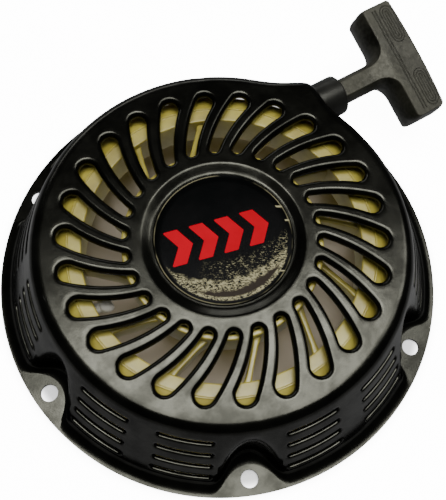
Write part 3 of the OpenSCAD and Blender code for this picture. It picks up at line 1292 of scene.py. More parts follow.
    def shoulder_rows(self, mesh: Mesh) -> None:
        """The plain ring outside the slots and the rounded shoulder, down to the wall.

        Args:
            mesh: The mesh that grows.
        """
        start = self.slots.turn(self.face_out) - 180 / self.slots.count
        top_angles = start + np.arange(self.columns) * 360 / self.columns
        shift = round((self.bolt_first - start) * self.columns / 360)
        top_angles = np.roll(top_angles, -shift)
        top_angles[-shift:] += 360
        wall = self.wall_angles()
        tilt = math.atan(self.flare)
        bend = self.shoulder_bend
        z_low = self.rows_z()[0]
        centre = self.height - bend
        centre_r = self.cone(centre) - bend / math.cos(tilt)
        base_r = self.cone(z_low)
        outward = self.wall_radius(wall, z_low) - base_r
        swing = np.linspace(math.pi / 2, tilt, 8)
        rel = np.column_stack([centre_r + bend * np.cos(swing), centre + bend * np.sin(swing)])
        below_bend = 42.2
        rel = np.vstack([rel, [[self.cone(below_bend), below_bend], [base_r, z_low]]])
        rows = []
        blend = np.linspace(0, 1, len(rel) + 3)
        for index, share in enumerate((0.0, 0.3, 0.65)):
            w = blend[index]
            radius = self.face_out + (rel[0][0] + outward - self.face_out) * share
            rows.append(polar(radius, top_angles * (1 - w) + wall * w, self.height))
        for index, (r, z) in enumerate(rel):
            w = blend[index + 3]
            rows.append(polar(r + outward, top_angles * (1 - w) + wall * w, z))
        mesh.grid(np.array(rows), wrap=True)

    def rows_z(self) -> Points:
        """Heights of the wall's rows of quads, from the shoulder to the foot."""
        stops = [self.louvre_top + self.louvre_step * (0.5 - k) for k in range(4)] + [self.wall_low]
        rows = [np.linspace(a, b, self.louvre_rows, endpoint=False) for a, b in zip(stops, stops[1:])]
        return np.concatenate([*rows, stops[-1:]])

    def has_louvre(self, sector: int, second: bool) -> bool:
        """Whether a group of louvres is there: the rope exit takes the place of one."""
        return not (sector == 0 and not second)

    def wall(self, mesh: Mesh) -> None:
        """The flared wall with its louvres.

        Args:
            mesh: The mesh that grows.
        """
        angles = self.wall_angles()
        z = self.rows_z()
        counts = [columns for _, columns, _ in STRIPS]
        starts = np.cumsum([0, *counts])
        for k in range(SECTORS):
            first = k * starts[-1]
            strips = list(zip(first + starts[:-1], counts))
            open_ = [louvred and self.has_louvre(k, i == 3) for i, (_, _, louvred) in enumerate(STRIPS)]
            for (start, count), louvred in zip(strips, open_):
                if louvred:
                    continue
                across = angles[(start + np.arange(count + 1)) % len(angles)]
                across[across < across[0]] += 360
                radius = self.wall_radius(across[None, :], z[:, None])
                mesh.grid(polar(radius, across[None, :], z[:, None]))
            for (start, count), louvred in zip(strips, open_):
                if not louvred:
                    continue
                across = angles[start : start + count + 1]
                for row in range(4):
                    rows = z[row * self.louvre_rows : (row + 1) * self.louvre_rows + 1]
                    self.louvre(mesh, across, rows, self.louvre_top - self.louvre_step * row)

    def louvre(self, mesh: Mesh, across: Points, z: Points, centre: float) -> None:
        """One side louvre in its own block of quads: a slit whose lips turn inwards.

        Args:
            mesh: The mesh that grows.
            across: Angles of the block's columns.
            z: Heights of the block's rows, downwards.
            centre: The slit's height.
        """
        middle = (across[0] + across[-1]) / 2
        cols, rows = len(across) - 1, len(z) - 1
        border = rim_of(np.stack(np.meshgrid(across, z), -1))
        per_mm = math.degrees(1 / self.cone(centre))
        upright = math.cos(math.atan(self.flare))

        def slit(grow: float) -> Points:
            """The slit's outline grown by some millimetres, as angle and height."""
            r = self.louvre_h + grow
            reach = self.louvre_w / per_mm - self.louvre_h
            line = np.linspace(-reach, reach, cols + 1)[:-1]
            end = np.linspace(90, -90, rows + 1)[:-1]
            upper = np.column_stack([line, np.full(cols, r)])
            east = np.column_stack([reach + r * np.cos(np.radians(end)), r * np.sin(np.radians(end))])
            lower = np.column_stack([-line, np.full(cols, -r)])
            west = -east
            loop = np.vstack([upper, east, lower, west])
            return np.column_stack([middle + loop[:, 0] * per_mm, centre + loop[:, 1] * upright])

        rings = []
        for step in (0, 20, 40, 60, 90):
            s, c = math.sin(math.radians(step)), math.cos(math.radians(step))
            line = slit(self.louvre_lip * (1 - c))
            sink = self.louvre_depth * (1 - s)
            rings.append(self.on_wall(line, sink))
        edge = slit(self.louvre_lip)
        for share in (0.4, 1.0):
            rings.append(self.on_wall(edge + (border - edge) * share, 0.0))
        inner = self.on_wall(slit(0.0), self.louvre_depth + 0.4)
        mesh.grid(np.array([inner, *rings]), wrap=True)

    def on_wall(self, line: Points, sink: float) -> Points:
        """Points on the wall, or a little inside it.

        Args:
            line: Angle and height, one point a row.
            sink: How far inside the wall they lie.

        Returns:
            The points.
        """
        tilt = math.atan(self.flare)
        radius = self.wall_radius(line[:, 0], line[:, 1])
        return polar(radius - sink * math.cos(tilt), line[:, 0], line[:, 1] - sink * math.sin(tilt))

    def foot(self, mesh: Mesh) -> None:
        """The fillet at the wall's foot, the flange and its bolt holes.

        Args:
            mesh: The mesh that grows.
        """
        angles = self.wall_angles()
        low = self.rows_z()[-1]
        radius = self.wall_radius(angles, low)
        bend = self.foot_bend + self.pocket_share(angles)
        rise = low - self.sheet - bend
        centre = radius + np.sqrt(bend**2 - rise**2)
        begin = np.arctan2(rise, radius - centre) % (2 * math.pi)
        rows = []
        for share in np.linspace(0, 1, 6):
            swing = begin + (1.5 * math.pi - begin) * share
            rows.append(polar(centre + bend * np.cos(swing), angles, self.sheet + bend * (1 + np.sin(swing))))
        mesh.grid(np.array(rows), wrap=True)
        shares = np.linspace(0, 1, 4)
        flat = np.array([polar(centre + (self.flange - centre) * s, angles, self.sheet) for s in shares])
        sector, beside = len(self.sector_columns()), STRIPS[0][1]
        for k in range(SECTORS):
            picked = (k * sector + np.arange(beside, sector - beside + 1)) % len(angles)
            mesh.grid(flat[:, picked])
            near = (k * sector + np.arange(-beside, beside + 1)) % len(angles)
            self.bolt_hole_cell(mesh, flat[:, near], self.bolt_first + SECTOR * k)

    def bolt_hole_cell(self, mesh: Mesh, pad: Points, degrees: float) -> None:
        """The flange about one bolt hole.

        Args:
            mesh: The mesh that grows.
            pad: Rows, from the wall out, by columns of the pad's points.
            degrees: The hole's angle.
        """
        border = rim_of(pad)
        hole = polar(self.bolt_circle, degrees, self.sheet)
        away = border - hole
        direction = away / np.linalg.norm(away[:, :2], axis=1)[:, None]
        rings = [hole + direction * self.bolt_hole]
        edge = hole + direction * (self.bolt_hole + 0.6)
        for share in (0.0, 0.35, 0.7, 1.0):
            rings.append(edge + (border - edge) * share)
        mesh.grid(np.array(rings), wrap=True)

    def build(self, kit: Kit) -> Piece:
        """Makes the case and dresses it.

        Args:
            kit: The materials.

        Returns:
            The case.
        """
        mesh = Mesh()
        self.face(mesh)
        self.middle(mesh)
        self.shoulder_rows(mesh)
        self.wall(mesh)
        self.foot(mesh)
        piece = mesh.build("pressed_case", weld=0.03)
        with edited(piece.data) as bm:
            bmesh.ops.recalc_face_normals(bm, faces=bm.faces)
            level = (f for f in bm.faces if abs(f.normal.z) > 0.99)
            if max(level, key=lambda f: f.calc_center_median().z).normal.z < 0:
                bmesh.ops.reverse_faces(bm, faces=bm.faces)
            LOG.info("case: %d edges with over two faces", sum(len(e.link_faces) > 2 for e in bm.edges))
        sheet = {"thickness": self.sheet * MM, "offset": -1.0}
        modifier(piece, "SOLIDIFY", use_even_offset=False, use_quality_normals=True, **sheet)
        soften(piece, 0.22, angle=60)
        settle(piece)
        return kit.dress(piece, "black_paint", Body.ROOT, ["case_shell"])


# ---------------------------------------------------------------- rope


@dataclass(frozen=True)
class Braid:
    """A plaited rope's skin.

    Attributes:
        radius: The rope's radius.
        strands: Bumps round the rope in one row.
        pitch: Length of one bump along the rope.
        depth: How deep the plait is, as a share of the radius.
        step: Length of one ring of quads.
        sides: Quads round the rope.
    """

    radius: float = 2.75
    strands: int = 3
    pitch: float = 5.4
    depth: float = 0.13
    step: float = 1.15
    sides: int = 24

    def sweep(self, mesh: Mesh, path: Points, places: Points, radius: float) -> None:
        """Sweeps the plaited section along a path.

        Args:
            mesh: The mesh that grows.
            path: The rope's middle line, one point a ring.
            places: Each ring's place along the straight rope.
            radius: The rope's radius there.
        """
        tangent = unit(np.gradient(path, axis=0))
        side = unit(np.cross([0.0, 0.0, 1.0], tangent))
        up = np.cross(tangent, side)
        angle = np.arange(self.sides)[None, :] * 2 * math.pi / self.sides
        along = math.pi * places[:, None] / self.pitch
        left = np.abs(np.cos(self.strands * angle + along))
        right = np.abs(np.cos(self.strands * angle - along))
        bump = 1 - self.depth * (1 - np.sqrt(np.maximum(left, right))) * 2.2
        ring = radius * bump[..., None]
        outward = np.cos(angle)[..., None] * side[:, None] + np.sin(angle)[..., None] * up[:, None]
        mesh.closed_grid(path[:, None] + ring * outward)

    def lay(self, mesh: Mesh, path: Points, radius: float | None = None) -> None:
        """Sweeps the rope along a path, with rings set evenly.

        Args:
            mesh: The mesh that grows.
            path: The middle line's points.
            radius: The rope's radius, if it isn't the usual one.
        """
        steps = np.linalg.norm(np.diff(path, axis=0), axis=1)
        length = np.concatenate([[0], np.cumsum(steps)])
        places = np.linspace(0, length[-1], int(length[-1] / self.step) + 2)
        even = np.column_stack([np.interp(places, length, path[:, i]) for i in range(3)])
        self.sweep(mesh, even, places, radius or self.radius)


@dataclass
class Rope:
    """The starter rope: its turns on the reel, its way out, and its two knots.

    Attributes:
        braid: The rope's skin.
        exit_y: The pull line's y.
        exit_z: Its height.
        lead_slant: Angle in degrees at which the rope leaves the reel.
        lead_bend: Radius of the bend into the exit.
        inner_x: Where the bend ends and the straight part starts.
        knot_x: Where the straight part ends, in the grip.
        travel: How far the grip is pulled.
        knot_turn: Angle of the rope's hole in the reel.
        reel_knot_r: Radius of the knot in the reel.
        reel_knot_z: Its height.
        grip_knot_x: Place of the knot in the grip along the pull.
    """

    braid: Braid = Braid()
    exit_y: float = 43.4
    exit_z: float = 30.0
    lead_slant: float = 27.0
    lead_bend: float = 14.0
    inner_x: float = 72.0
    knot_x: float = 128.9
    travel: float = 1096.4
    knot_turn: float = 177.0
    reel_knot_r: float = 58.0
    reel_knot_z: float = 31.0
    grip_knot_x: float = 134.9

    def coil(self) -> Piece:
        """The turns in the reel's groove: two side by side and a third on top."""
        stops = [(0, 67.6, 31.0), (25, 67.6, 28.7), (345, 67.6, 28.7), (385, 67.6, 32.8), (715, 67.6, 32.8),
                 (750, 70.9, 30.7), (1070, 70.9, 30.7)]  # fmt: skip
        turn, radius, height = np.array(stops).T
        angle = np.arange(0, turn[-1], 2.0)
        path = polar(np.interp(angle, turn, radius), self.knot_turn - angle, np.interp(angle, turn, height))
        inner = polar(np.array([59.0, 62.0, 65.0]), self.knot_turn, self.reel_knot_z)
        mesh = Mesh()
        self.braid.lay(mesh, np.vstack([inner, path[2:]]), 2.35)
        return mesh.build("rope_turns")

    def lead(self) -> Piece:
        """The rope between the reel's groove and the exit."""
        swing = np.radians(np.linspace(270 - self.lead_slant, 270, 10))
        bend = np.stack([
            self.inner_x + self.lead_bend * np.cos(swing),
            self.exit_y + self.lead_bend * (1 + np.sin(swing)),
            np.full(len(swing), self.exit_z),
        ], -1)  # fmt: skip
        slant = math.radians(self.lead_slant)
        back = np.array([-math.cos(slant), math.sin(slant), 0.0])
        start = bend[0] + back * 34.0
        mesh = Mesh()
        self.braid.lay(mesh, np.vstack([start, bend, bend[-1] + [1.0, 0, 0]]))
        return mesh.build("rope_way_out")

    def run(self) -> Piece:
        """The straight rope from the exit to the grip, with rings that lie evenly when it is pulled."""
        rest = self.knot_x - self.inner_x
        t = np.linspace(0, 1, 20001)
        pulled = rest * t + self.travel * eased(t)
        places = np.arange(0, pulled[-1], self.braid.step)
        share = np.interp(places, pulled, t)
        path = np.zeros((len(share), 3)) + [0.0, self.exit_y, self.exit_z]
        path[:, 0] = self.inner_x + rest * share
        mesh = Mesh()
        self.braid.sweep(mesh, path, places, self.braid.radius)
        return mesh.build("rope_run_braid", weld=0.0)

    def knot(self, name: str, centre: Points, size: float, thick: float, along: float) -> Piece:
        """A pulled-tight overhand knot.

        Args:
            name: The object's name.
            centre: The knot's middle.
            size: Its outer radius.
            thick: The rope's radius in it.
            along: Direction in degrees of the rope that it stops.

        Returns:
            The knot.
        """
        t = np.linspace(0, 2 * math.pi, 121)
        x = np.sin(t) + 2 * np.sin(2 * t)
        y = np.cos(t) - 2 * np.cos(2 * t)
        z = -np.sin(3 * t)
        reach = (size - thick) / 3
        local = np.stack([z * reach * 1.6, x * reach, y * reach], -1)
        path = turned(local, along) + centre
        mesh = Mesh()
        tight = Braid(radius=thick, step=0.5, pitch=3.2, sides=16)
        tight.lay(mesh, path, thick)
        return mesh.build(name)

    def build(self, kit: Kit) -> None:
        """Makes and dresses all of the rope.

        Args:
            kit: The materials.
        """
        kit.dress(self.coil(), "rope", Body.REEL, ["rope_coil"])
        kit.dress(self.lead(), "rope", Body.ROOT, ["rope_lead"])
        run = kit.dress(self.run(), "rope", None, ["rope_run"])
        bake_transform(run)
        at_reel = polar(self.reel_knot_r, self.knot_turn, self.reel_knot_z)
        knot = self.knot("reel_end_knot", at_reel, 4.35, 1.9, self.knot_turn)
        kit.dress(knot, "rope", Body.REEL, ["reel_knot"])
        at_grip = np.array([self.grip_knot_x, self.exit_y, self.exit_z])
        knot = self.knot("grip_end_knot", at_grip, 5.9, 2.5, 0.0)
        kit.dress(knot, "rope", Body.GRIP, ["grip_knot"])


# ---------------------------------------------------------------- reel and what it carries


@dataclass
class Reel:
    """The moulded reel: web and spring cup, grooved rim, and slanted ribs between them.

    Attributes:
        rim: Outer radius.
        groove: Radius of the rope groove's floor.
        rim_in: The rim's inner radius.
        cup: Outer radius of the spring cup.
        ribs: How many ribs.
        rib_first: Angle of the first rib.
        rib_skew: How far a rib's ends are turned from its middle.
        rib_thick: A rib's thickness.
        rib_out: Radius of a rib's outer end.
        rib_in: Radius of its inner end.
        rib_low: Its lower edge.
        rib_high: Its upper edge.
    """

    rim: float = 76.5
    groove: float = 65.0
    rim_in: float = 62.7
    cup: float = 45.0
    ribs: int = 12
    rib_first: float = 14.0
    rib_skew: float = 5.25
    rib_thick: float = 2.5
    rib_out: float = 63.6
    rib_in: float = 44.0
    rib_low: float = 26.0
    rib_high: float = 36.0

    def build(self, kit: Kit) -> Piece:
        """Makes and dresses the reel.

        Args:
            kit: The materials.

        Returns:
            The reel.
        """
        mesh = Mesh()
        cup, wall = self.cup, self.cup - 2.5
        hub = [(9.06, 15.5, 0.4), (14, 15.5, 0.6), (14, 22, 0.8), (24, 22, 0), (24.4, 21.6, 0.2),
               (25.6, 21.6, 0.2), (26, 22, 0), (cup, 22, 0.7), (cup, 41, 0.7), (wall, 41, 0.7),
               (wall, 27, 1.2), (9.06, 27, 0.4)]  # fmt: skip
        lathe(mesh, rounded(hub, closed=True), 192)
        rim = [(self.rim_in, 23, 0.5), (self.rim, 23.8, 0.6), (self.rim, 25, 0.6), (self.groove, 25.8, 1.5),
               (self.groove, 35.5, 1.5), (self.rim, 36.3, 0.5), (self.rim, 37.3, 0.5), (69.7, 39.0, 0.3),
               (69.4, 39.5, 0.2), (68.9, 39.5, 0.2), (68.6, 39.0, 0.3), (self.rim_in, 39.0, 0.7)]  # fmt: skip
        lathe(mesh, rounded(rim, closed=True), 288)
        start = polar(self.rib_out, -self.rib_skew, 0.0)[:2]
        end = polar(self.rib_in, self.rib_skew, 0.0)[:2]
        along = (end - start) / np.linalg.norm(end - start)
        across = np.array([-along[1], along[0]])
        half, low, high = self.rib_thick / 2, self.rib_low, self.rib_high
        corners = [(-half, low, 0.5), (half, low, 0.5), (half, high, 0.7), (-half, high, 0.7)]
        section = rounded(corners, closed=True)
        for k in range(self.ribs):
            rows = []
            for share in np.linspace(0, 1, 6):
                # a rib swells a little where it joins the rim and the cup
                swell = 1 + 0.5 * abs(2 * share - 1) ** 6
                flat = start + (end - start) * share + across * section[:, :1] * swell
                rows.append(np.column_stack([flat, section[:, 1]]))
            mesh.grid(turned(np.array(rows), self.rib_first + k * 360 / self.ribs), wrap=True)
        return kit.dress(mesh.build("reel_moulding"), "cream_nylon", Body.REEL, ["reel"])


@dataclass
class ReturnSpring:
    """The coiled strip spring in the reel's cup.

    Attributes:
        turns: How many turns.
        inner: Radius where it leaves its inner hook.
        middle: Radius after the first, loose turn.
        outer: Radius at its outer hook.
        strip: Thickness of the strip.
        low: Its lower edge.
        high: Its upper edge.
    """

    turns: int = 9
    inner: float = 10.6
    middle: float = 23.0
    outer: float = 41.6
    strip: float = 0.8
    low: float = 27.8
    high: float = 38.8

    def build(self, kit: Kit) -> Piece:
        """Makes and dresses the spring.

        Args:
            kit: The materials.

        Returns:
            The spring.
        """
        t = np.linspace(0, self.turns, self.turns * 72 + 1)
        close = self.middle + (self.outer - self.middle) * (t - 1) / (self.turns - 1)
        radius = np.where(t < 1, self.inner + (self.middle - self.inner) * t, close)
        path = polar(radius, -360 * t, 0.0)[:, :2]
        path = np.vstack([[5.8, 0.0], [8.2, 0.0], path, [self.outer + 1.4, 0.05], [44.4, 0.0]])
        heading = unit(np.gradient(path, axis=0))
        normal = np.column_stack([-heading[:, 1], heading[:, 0]])
        half = self.strip / 2
        low, high = self.low, self.high
        corners = [(-half, low, 0.3), (half, low, 0.3), (half, high, 0.3), (-half, high, 0.3)]
        section = rounded(corners, 3, True)
        points = np.empty((len(path), len(section), 3))
        points[..., :2] = path[:, None] + normal[:, None] * section[None, :, :1]
        points[..., 2] = section[None, :, 1]
        mesh = Mesh()
        mesh.closed_grid(points)
        return kit.dress(mesh.build("coiled_strip_spring"), "spring_steel", Body.ROOT, ["return_spring"])


def softened(node: str, name: str, width: float) -> Piece:
    """Copies a node of the frame and rounds its edges.

    Args:
        node: The node's name.
        name: The copy's name.
        width: Width of the rounding.

    Returns:
        The copy.
    """
    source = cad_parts[node]
    data = source.data.copy()
    data.transform(source.matrix_world)
    piece = linked(name, data)
    with edited(data) as bm:
        bmesh.ops.remove_doubles(bm, verts=bm.verts, dist=0.002 * MM)
        bmesh.ops.dissolve_limit(bm, angle_limit=math.radians(1.5), verts=bm.verts, edges=bm.edges)
    data.shade_smooth()
    soften(piece, width, angle=28, segments=3)
    settle(piece)
    return piece


@dataclass
class Ratchet:
    """The pawls and the guide that works them, with their small springs.

    Attributes:
        pivot: Radius of the pawls' pivots.
        wire: Radius of the friction clip's wire.
        clip: Radius of the friction clip.
        clip_z: Its height.
        coil: Radius of a pawl spring's coils.
        coil_z: Height of its lowest coil.
        aim: Direction in degrees in which a pawl points.
    """

    pivot: float = 26.0
    wire: float = 0.8
    clip: float = 9.9
    clip_z: float = 10.0
    coil: float = 3.75
    coil_z: float = 20.5
    aim: float = 258.7

    def clip_mesh(self) -> Piece:
        """The sprung wire clip on the guide's boss."""
        arc = polar(self.clip, np.linspace(30, 330, 72), self.clip_z)
        first = polar(np.array([self.clip + 5.0, self.clip + 1.6]), 30.0, self.clip_z)
        last = polar(np.array([self.clip + 1.6, self.clip + 5.0]), 330.0, self.clip_z)
        mesh = Mesh()
        tube(mesh, np.vstack([first, arc[1:-1], last]), self.wire, 14)
        return mesh.build("friction_clip")

    def pawl_spring(self, name: str, turn: float) -> Piece:
        """A pawl's torsion spring: coils round the pin and a leg on the pawl.

        Args:
            name: The object's name.
            turn: The pawl's angle about the reel.

        Returns:
            The spring.
        """
        t = np.linspace(0, 2.0, 73)
        start = self.aim - 12 + 90
        coils = polar(self.coil, start + 360 * t, self.coil_z + 0.55 * t)
        leg_way = polar(1.0, self.aim - 12, 0.0)
        leg = coils[0] + leg_way * np.linspace(8, 1, 5)[:, None]
        mesh = Mesh()
        tube(mesh, np.vstack([leg, coils]) + [self.pivot, 0, 0], 0.42, 10)
        mesh.points = [turned(p, turn) for p in mesh.points]
        return mesh.build(name)

    def build(self, kit: Kit) -> None:
        """Makes and dresses the ratchet's pieces.

        Args:
            kit: The materials.
        """
        kit.dress(softened("ratchet_guide", "guide_plate", 0.35), "zinc_steel", Body.GUIDE, ["ratchet_guide"])
        kit.dress(self.clip_mesh(), "spring_steel", Body.GUIDE, ["friction_spring"])
        for letter, turn, body in (("a", 0.0, Body.PAWL_A), ("b", 180.0, Body.PAWL_B)):
            pawl = softened(f"pawl_{letter}", f"pawl_{letter}_steel", 0.4)
            kit.dress(pawl, "pawl_steel", body, [f"pawl_{letter}"])
            spring = self.pawl_spring(f"pawl_{letter}_wire", turn)
            kit.dress(spring, "spring_steel", body, [f"pawl_spring_{letter}"])


@dataclass
class Hardware:
    """The centre post, the setting screw and its washer.

    Attributes:
        hex_radius: Radius to the head's corners.
        head_low: The head's lower face.
        head_high: Its upper face, against the washer.
        washer: The washer's radius.
        washer_high: The washer's upper face.
        shank: Radius of the screw's thread.
        shank_high: Where the thread ends.
    """

    hex_radius: float = 7.5
    head_low: float = 1.6
    head_high: float = 6.4
    washer: float = 10.0
    washer_high: float = 8.0
    shank: float = 4.0
    shank_high: float = 26.4

    def screw(self) -> Piece:
        """The hexagon-headed screw with chamfered corners and a threaded end."""
        mesh = Mesh()
        sides = 96
        angle = np.arange(sides) * 360 / sides
        apothem = self.hex_radius * math.cos(math.pi / 6)
        flats = apothem / np.cos(np.radians((angle + 30) % 60 - 30))
        low, high = self.head_low, self.head_high
        caps = [(5.0, low), (6.3, low), (6.75, low + 0.25), (7.3, low + 0.6), (7.6, low + 1.0),
                (7.6, high - 0.3), (7.2, high), (self.shank, high)]  # fmt: skip
        rows = [polar(np.minimum(flats, cap), angle, z) for cap, z in caps]
        for z in np.arange(high, self.shank_high, 0.2):
            groove = 0.3 * abs(((z / 1.25) % 1) * 2 - 1)
            rows.append(polar(np.full(sides, self.shank - groove), angle, z))
        mesh.closed_grid(np.array(rows))
        piece = mesh.build("hex_screw")
        soften(piece, 0.2, angle=40)
        settle(piece)
        return piece

    def build(self, kit: Kit) -> None:
        """Makes and dresses the pieces.

        Args:
            kit: The materials.
        """
        kit.dress(softened("centre_post", "flanged_post", 0.35), "zinc_steel", Body.ROOT, ["centre_post"])
        kit.dress(self.screw(), "zinc_steel", Body.ROOT, ["setting_screw"])
        mesh = Mesh()
        bore, low, high = self.shank + 0.2, self.head_high, self.washer_high
        ring = [(bore, low, 0.2), (self.washer, low, 0.35), (self.washer, high, 0.35), (bore, high, 0.2)]
        lathe(mesh, rounded(ring, closed=True), 96)
        kit.dress(mesh.build("plain_washer"), "zinc_steel", Body.ROOT, ["screw_washer"])


@dataclass
class RopeGuide:
    """The moulded bush that the rope leaves through, with the collar that seats the grip.

    Attributes:
        y: The pull line's y.
        z: Its height.
        start: Where its inner lip starts along the pull.
        end: Where its collar ends.
        collar: The collar's radius.
        barrel: Radius of the part in the wall.
        barrel_end: Where that part ends at the collar.
        bore: Radius of the rope's bore.
        seat: Radius of the grip's seat.
    """

    y: float = 43.4
    z: float = 30.0
    start: float = 73.4
    end: float = 93.3
    collar: float = 10.0
    barrel: float = 6.5
    barrel_end: float = 79.4
    bore: float = 3.45
    seat: float = 8.0

    def build(self, kit: Kit) -> Piece:
        """Makes and dresses the guide.

        Args:
            kit: The materials.

        Returns:
            The guide.
        """
        lip, face, seat = self.start + 2.8, self.barrel_end, self.end - 3.5
        outline = [(self.bore, self.start, 1.2), (self.seat, self.start, 0.8), (self.seat, lip, 0.4),
                   (self.barrel, lip, 0.2), (self.barrel, face, 0.2), (self.collar, face, 0.6),
                   (self.collar, self.end, 1.1), (self.seat, self.end, 0.5), (self.seat - 0.1, seat, 0.4),
                   (self.bore, seat, 0.4)]  # fmt: skip
        mesh = lathe_x(rounded(outline, steps=5, closed=True), 96, self.y, self.z)
        return kit.dress(mesh.build("rope_bush"), "black_plastic", Body.ROOT, ["rope_guide"])


# ---------------------------------------------------------------- grip


@dataclass
class Grip:
    """The T-shaped grip, whose walls flare from both flat faces to the middle.

    Attributes:
        y: The pull line's y.
        z: Its height.
        roll: How far the grip is rolled about the pull line, in degrees.
        middle: Place of the crossbar's middle along the pull.
        width: The crossbar's width along the pull.
        length: Its length.
        thick: Its thickness.
        stem: The stem's width.
        stem_start: Where the stem starts.
        fillet: Radius of the hollow between the stem and the crossbar.
    """

    y: float = 43.4
    z: float = 30.0
    roll: float = 15.9
    middle: float = 130.0
    width: float = 22.0
    length: float = 62.0
    thick: float = 19.0
    stem: float = 13.0
    stem_start: float = 90.3
    fillet: float = 6.5

    def plan(self, inset: float, corner: float) -> tuple[np.ndarray, np.ndarray]:
        """The grip's outline filled with two grids: the crossbar's and the stem's.

        Args:
            inset: How far the outline is set in.
            corner: Radius of the crossbar's outer corners.

        Returns:
            The crossbar's and the stem's grids of x and y, rows across the pull.
        """
        half = self.stem / 2 - inset
        reach = self.length / 2 - 0.45 * inset
        hollow = self.fillet + inset
        inner = self.middle - self.width / 2 + inset
        outer = self.middle + self.width / 2 - inset
        swing = np.radians(np.linspace(0, 90, 9))
        rows = [np.linspace(0, half, 9), half + hollow * (1 - np.cos(swing))[1:]]
        rows.append(np.linspace(half + hollow, reach - corner, 15)[1:])
        rows.append(reach - corner + corner * np.sin(swing)[1:])
        positive = np.concatenate(rows)
        y = np.concatenate([-positive[::-1][:-1], positive])
        away = np.abs(y)
        over = np.clip(away - (reach - corner), 0, corner)
        cut = corner - np.sqrt(corner**2 - over**2)
        into = np.clip(half + hollow - away, 0, hollow)
        x_in = inner + cut - (hollow - np.sqrt(hollow**2 - into**2))
        x_out = outer - cut - 1.3 * (away / reach) ** 2
        share = np.linspace(0, 1, 31)[None, :]
        bar = np.stack(np.broadcast_arrays(x_in[:, None] + (x_out - x_in)[:, None] * share, y[:, None]), -1)
        middle = slice(len(positive) - 9, len(positive) + 8)
        start = self.stem_start
        along = np.linspace(0, 1, 17)[None, :]
        reach_in = start + (x_in[middle, None] - start) * along
        stem = np.stack(np.broadcast_arrays(reach_in, y[middle, None]), -1)
        return bar, stem

    def height(self, x: Points) -> Points:
        """Half of the grip's thickness at places along the pull: the stem is thinner."""
        share = eased(np.clip((x - (self.middle - 20)) / 13, 0, 1))
        return (self.stem + (self.thick - self.stem) * share) / 2

    def solid(self) -> Piece:
        """The grip's mesh, before its recess is cut."""
        fractions = [1.0, 0.985, 0.95, 0.72, 0.45, 0.2]
        insets = [2.9, 2.5, 2.3, 1.25, 0.5, 0.12]
        steps = list(zip(fractions, insets)) + [(0.0, 0.0)]
        steps += [(-f, i) for f, i in reversed(steps[:-1])]
        mesh = Mesh()
        rings = []
        for step, (fraction, inset) in enumerate(steps):
            bar, stem = self.plan(inset, 5.6 - 3.8 * abs(fraction))
            rows = len(bar)
            first = (rows - len(stem)) // 2
            for sheet in (bar, stem):
                if step in (0, len(steps) - 1):
                    z = self.height(sheet[..., 0]) * fraction
                    mesh.grid(np.concatenate([sheet, z[..., None]], -1))
            loop = np.vstack([
                stem[::-1, 0][:-1], stem[0, :-1], bar[: first + 1, 0][::-1][:-1], bar[0, :-1], bar[:-1, -1],
                bar[-1, ::-1][:-1], bar[rows - first - 1 :, 0][::-1][:-1], stem[-1, ::-1][:-1],
            ])  # fmt: skip
            rings.append(np.column_stack([loop, self.height(loop[:, 0]) * fraction]))
        mesh.grid(np.array(rings), wrap=True)
        return mesh.build("grip_moulding", weld=0.01)

    def build(self, kit: Kit) -> None:
        """Makes the grip with its knot recess, and the retainer.

        Args:
            kit: The materials.
        """
        piece = self.solid()
        with edited(piece.data) as bm:
            bmesh.ops.recalc_face_normals(bm, faces=bm.faces)
        recess = [[0.01, 127.0], [7.2, 127.0], [8.0, 127.8], [8.0, 137.5], [8.6, 140.0],
                  [9.2, 146.0], [0.01, 146.0]]  # fmt: skip
        cutter = lathe_x(np.array(recess), 64).build("recess_cutter")
        modifier(piece, "BOOLEAN", object=cutter, operation="DIFFERENCE", solver="EXACT")
        settle(piece)
        bpy.data.objects.remove(cutter)
        rolled = Matrix.Rotation(math.radians(self.roll), 4, "X")
        piece.data.transform(Matrix.Translation((0, self.y * MM, self.z * MM)) @ rolled)
        kit.dress(piece, "grip_plastic", Body.GRIP, ["grip"])
        ring = [(3.05, 127.1, 0.2), (7.6, 127.1, 0.4), (7.6, 128.7, 0.4), (3.05, 128.7, 0.2)]
        mesh = lathe_x(rounded(ring, closed=True), 64, self.y, self.z)
        kit.dress(mesh.build("retainer_disc"), "zinc_steel", Body.GRIP, ["grip_retainer"])


# ---------------------------------------------------------------- label


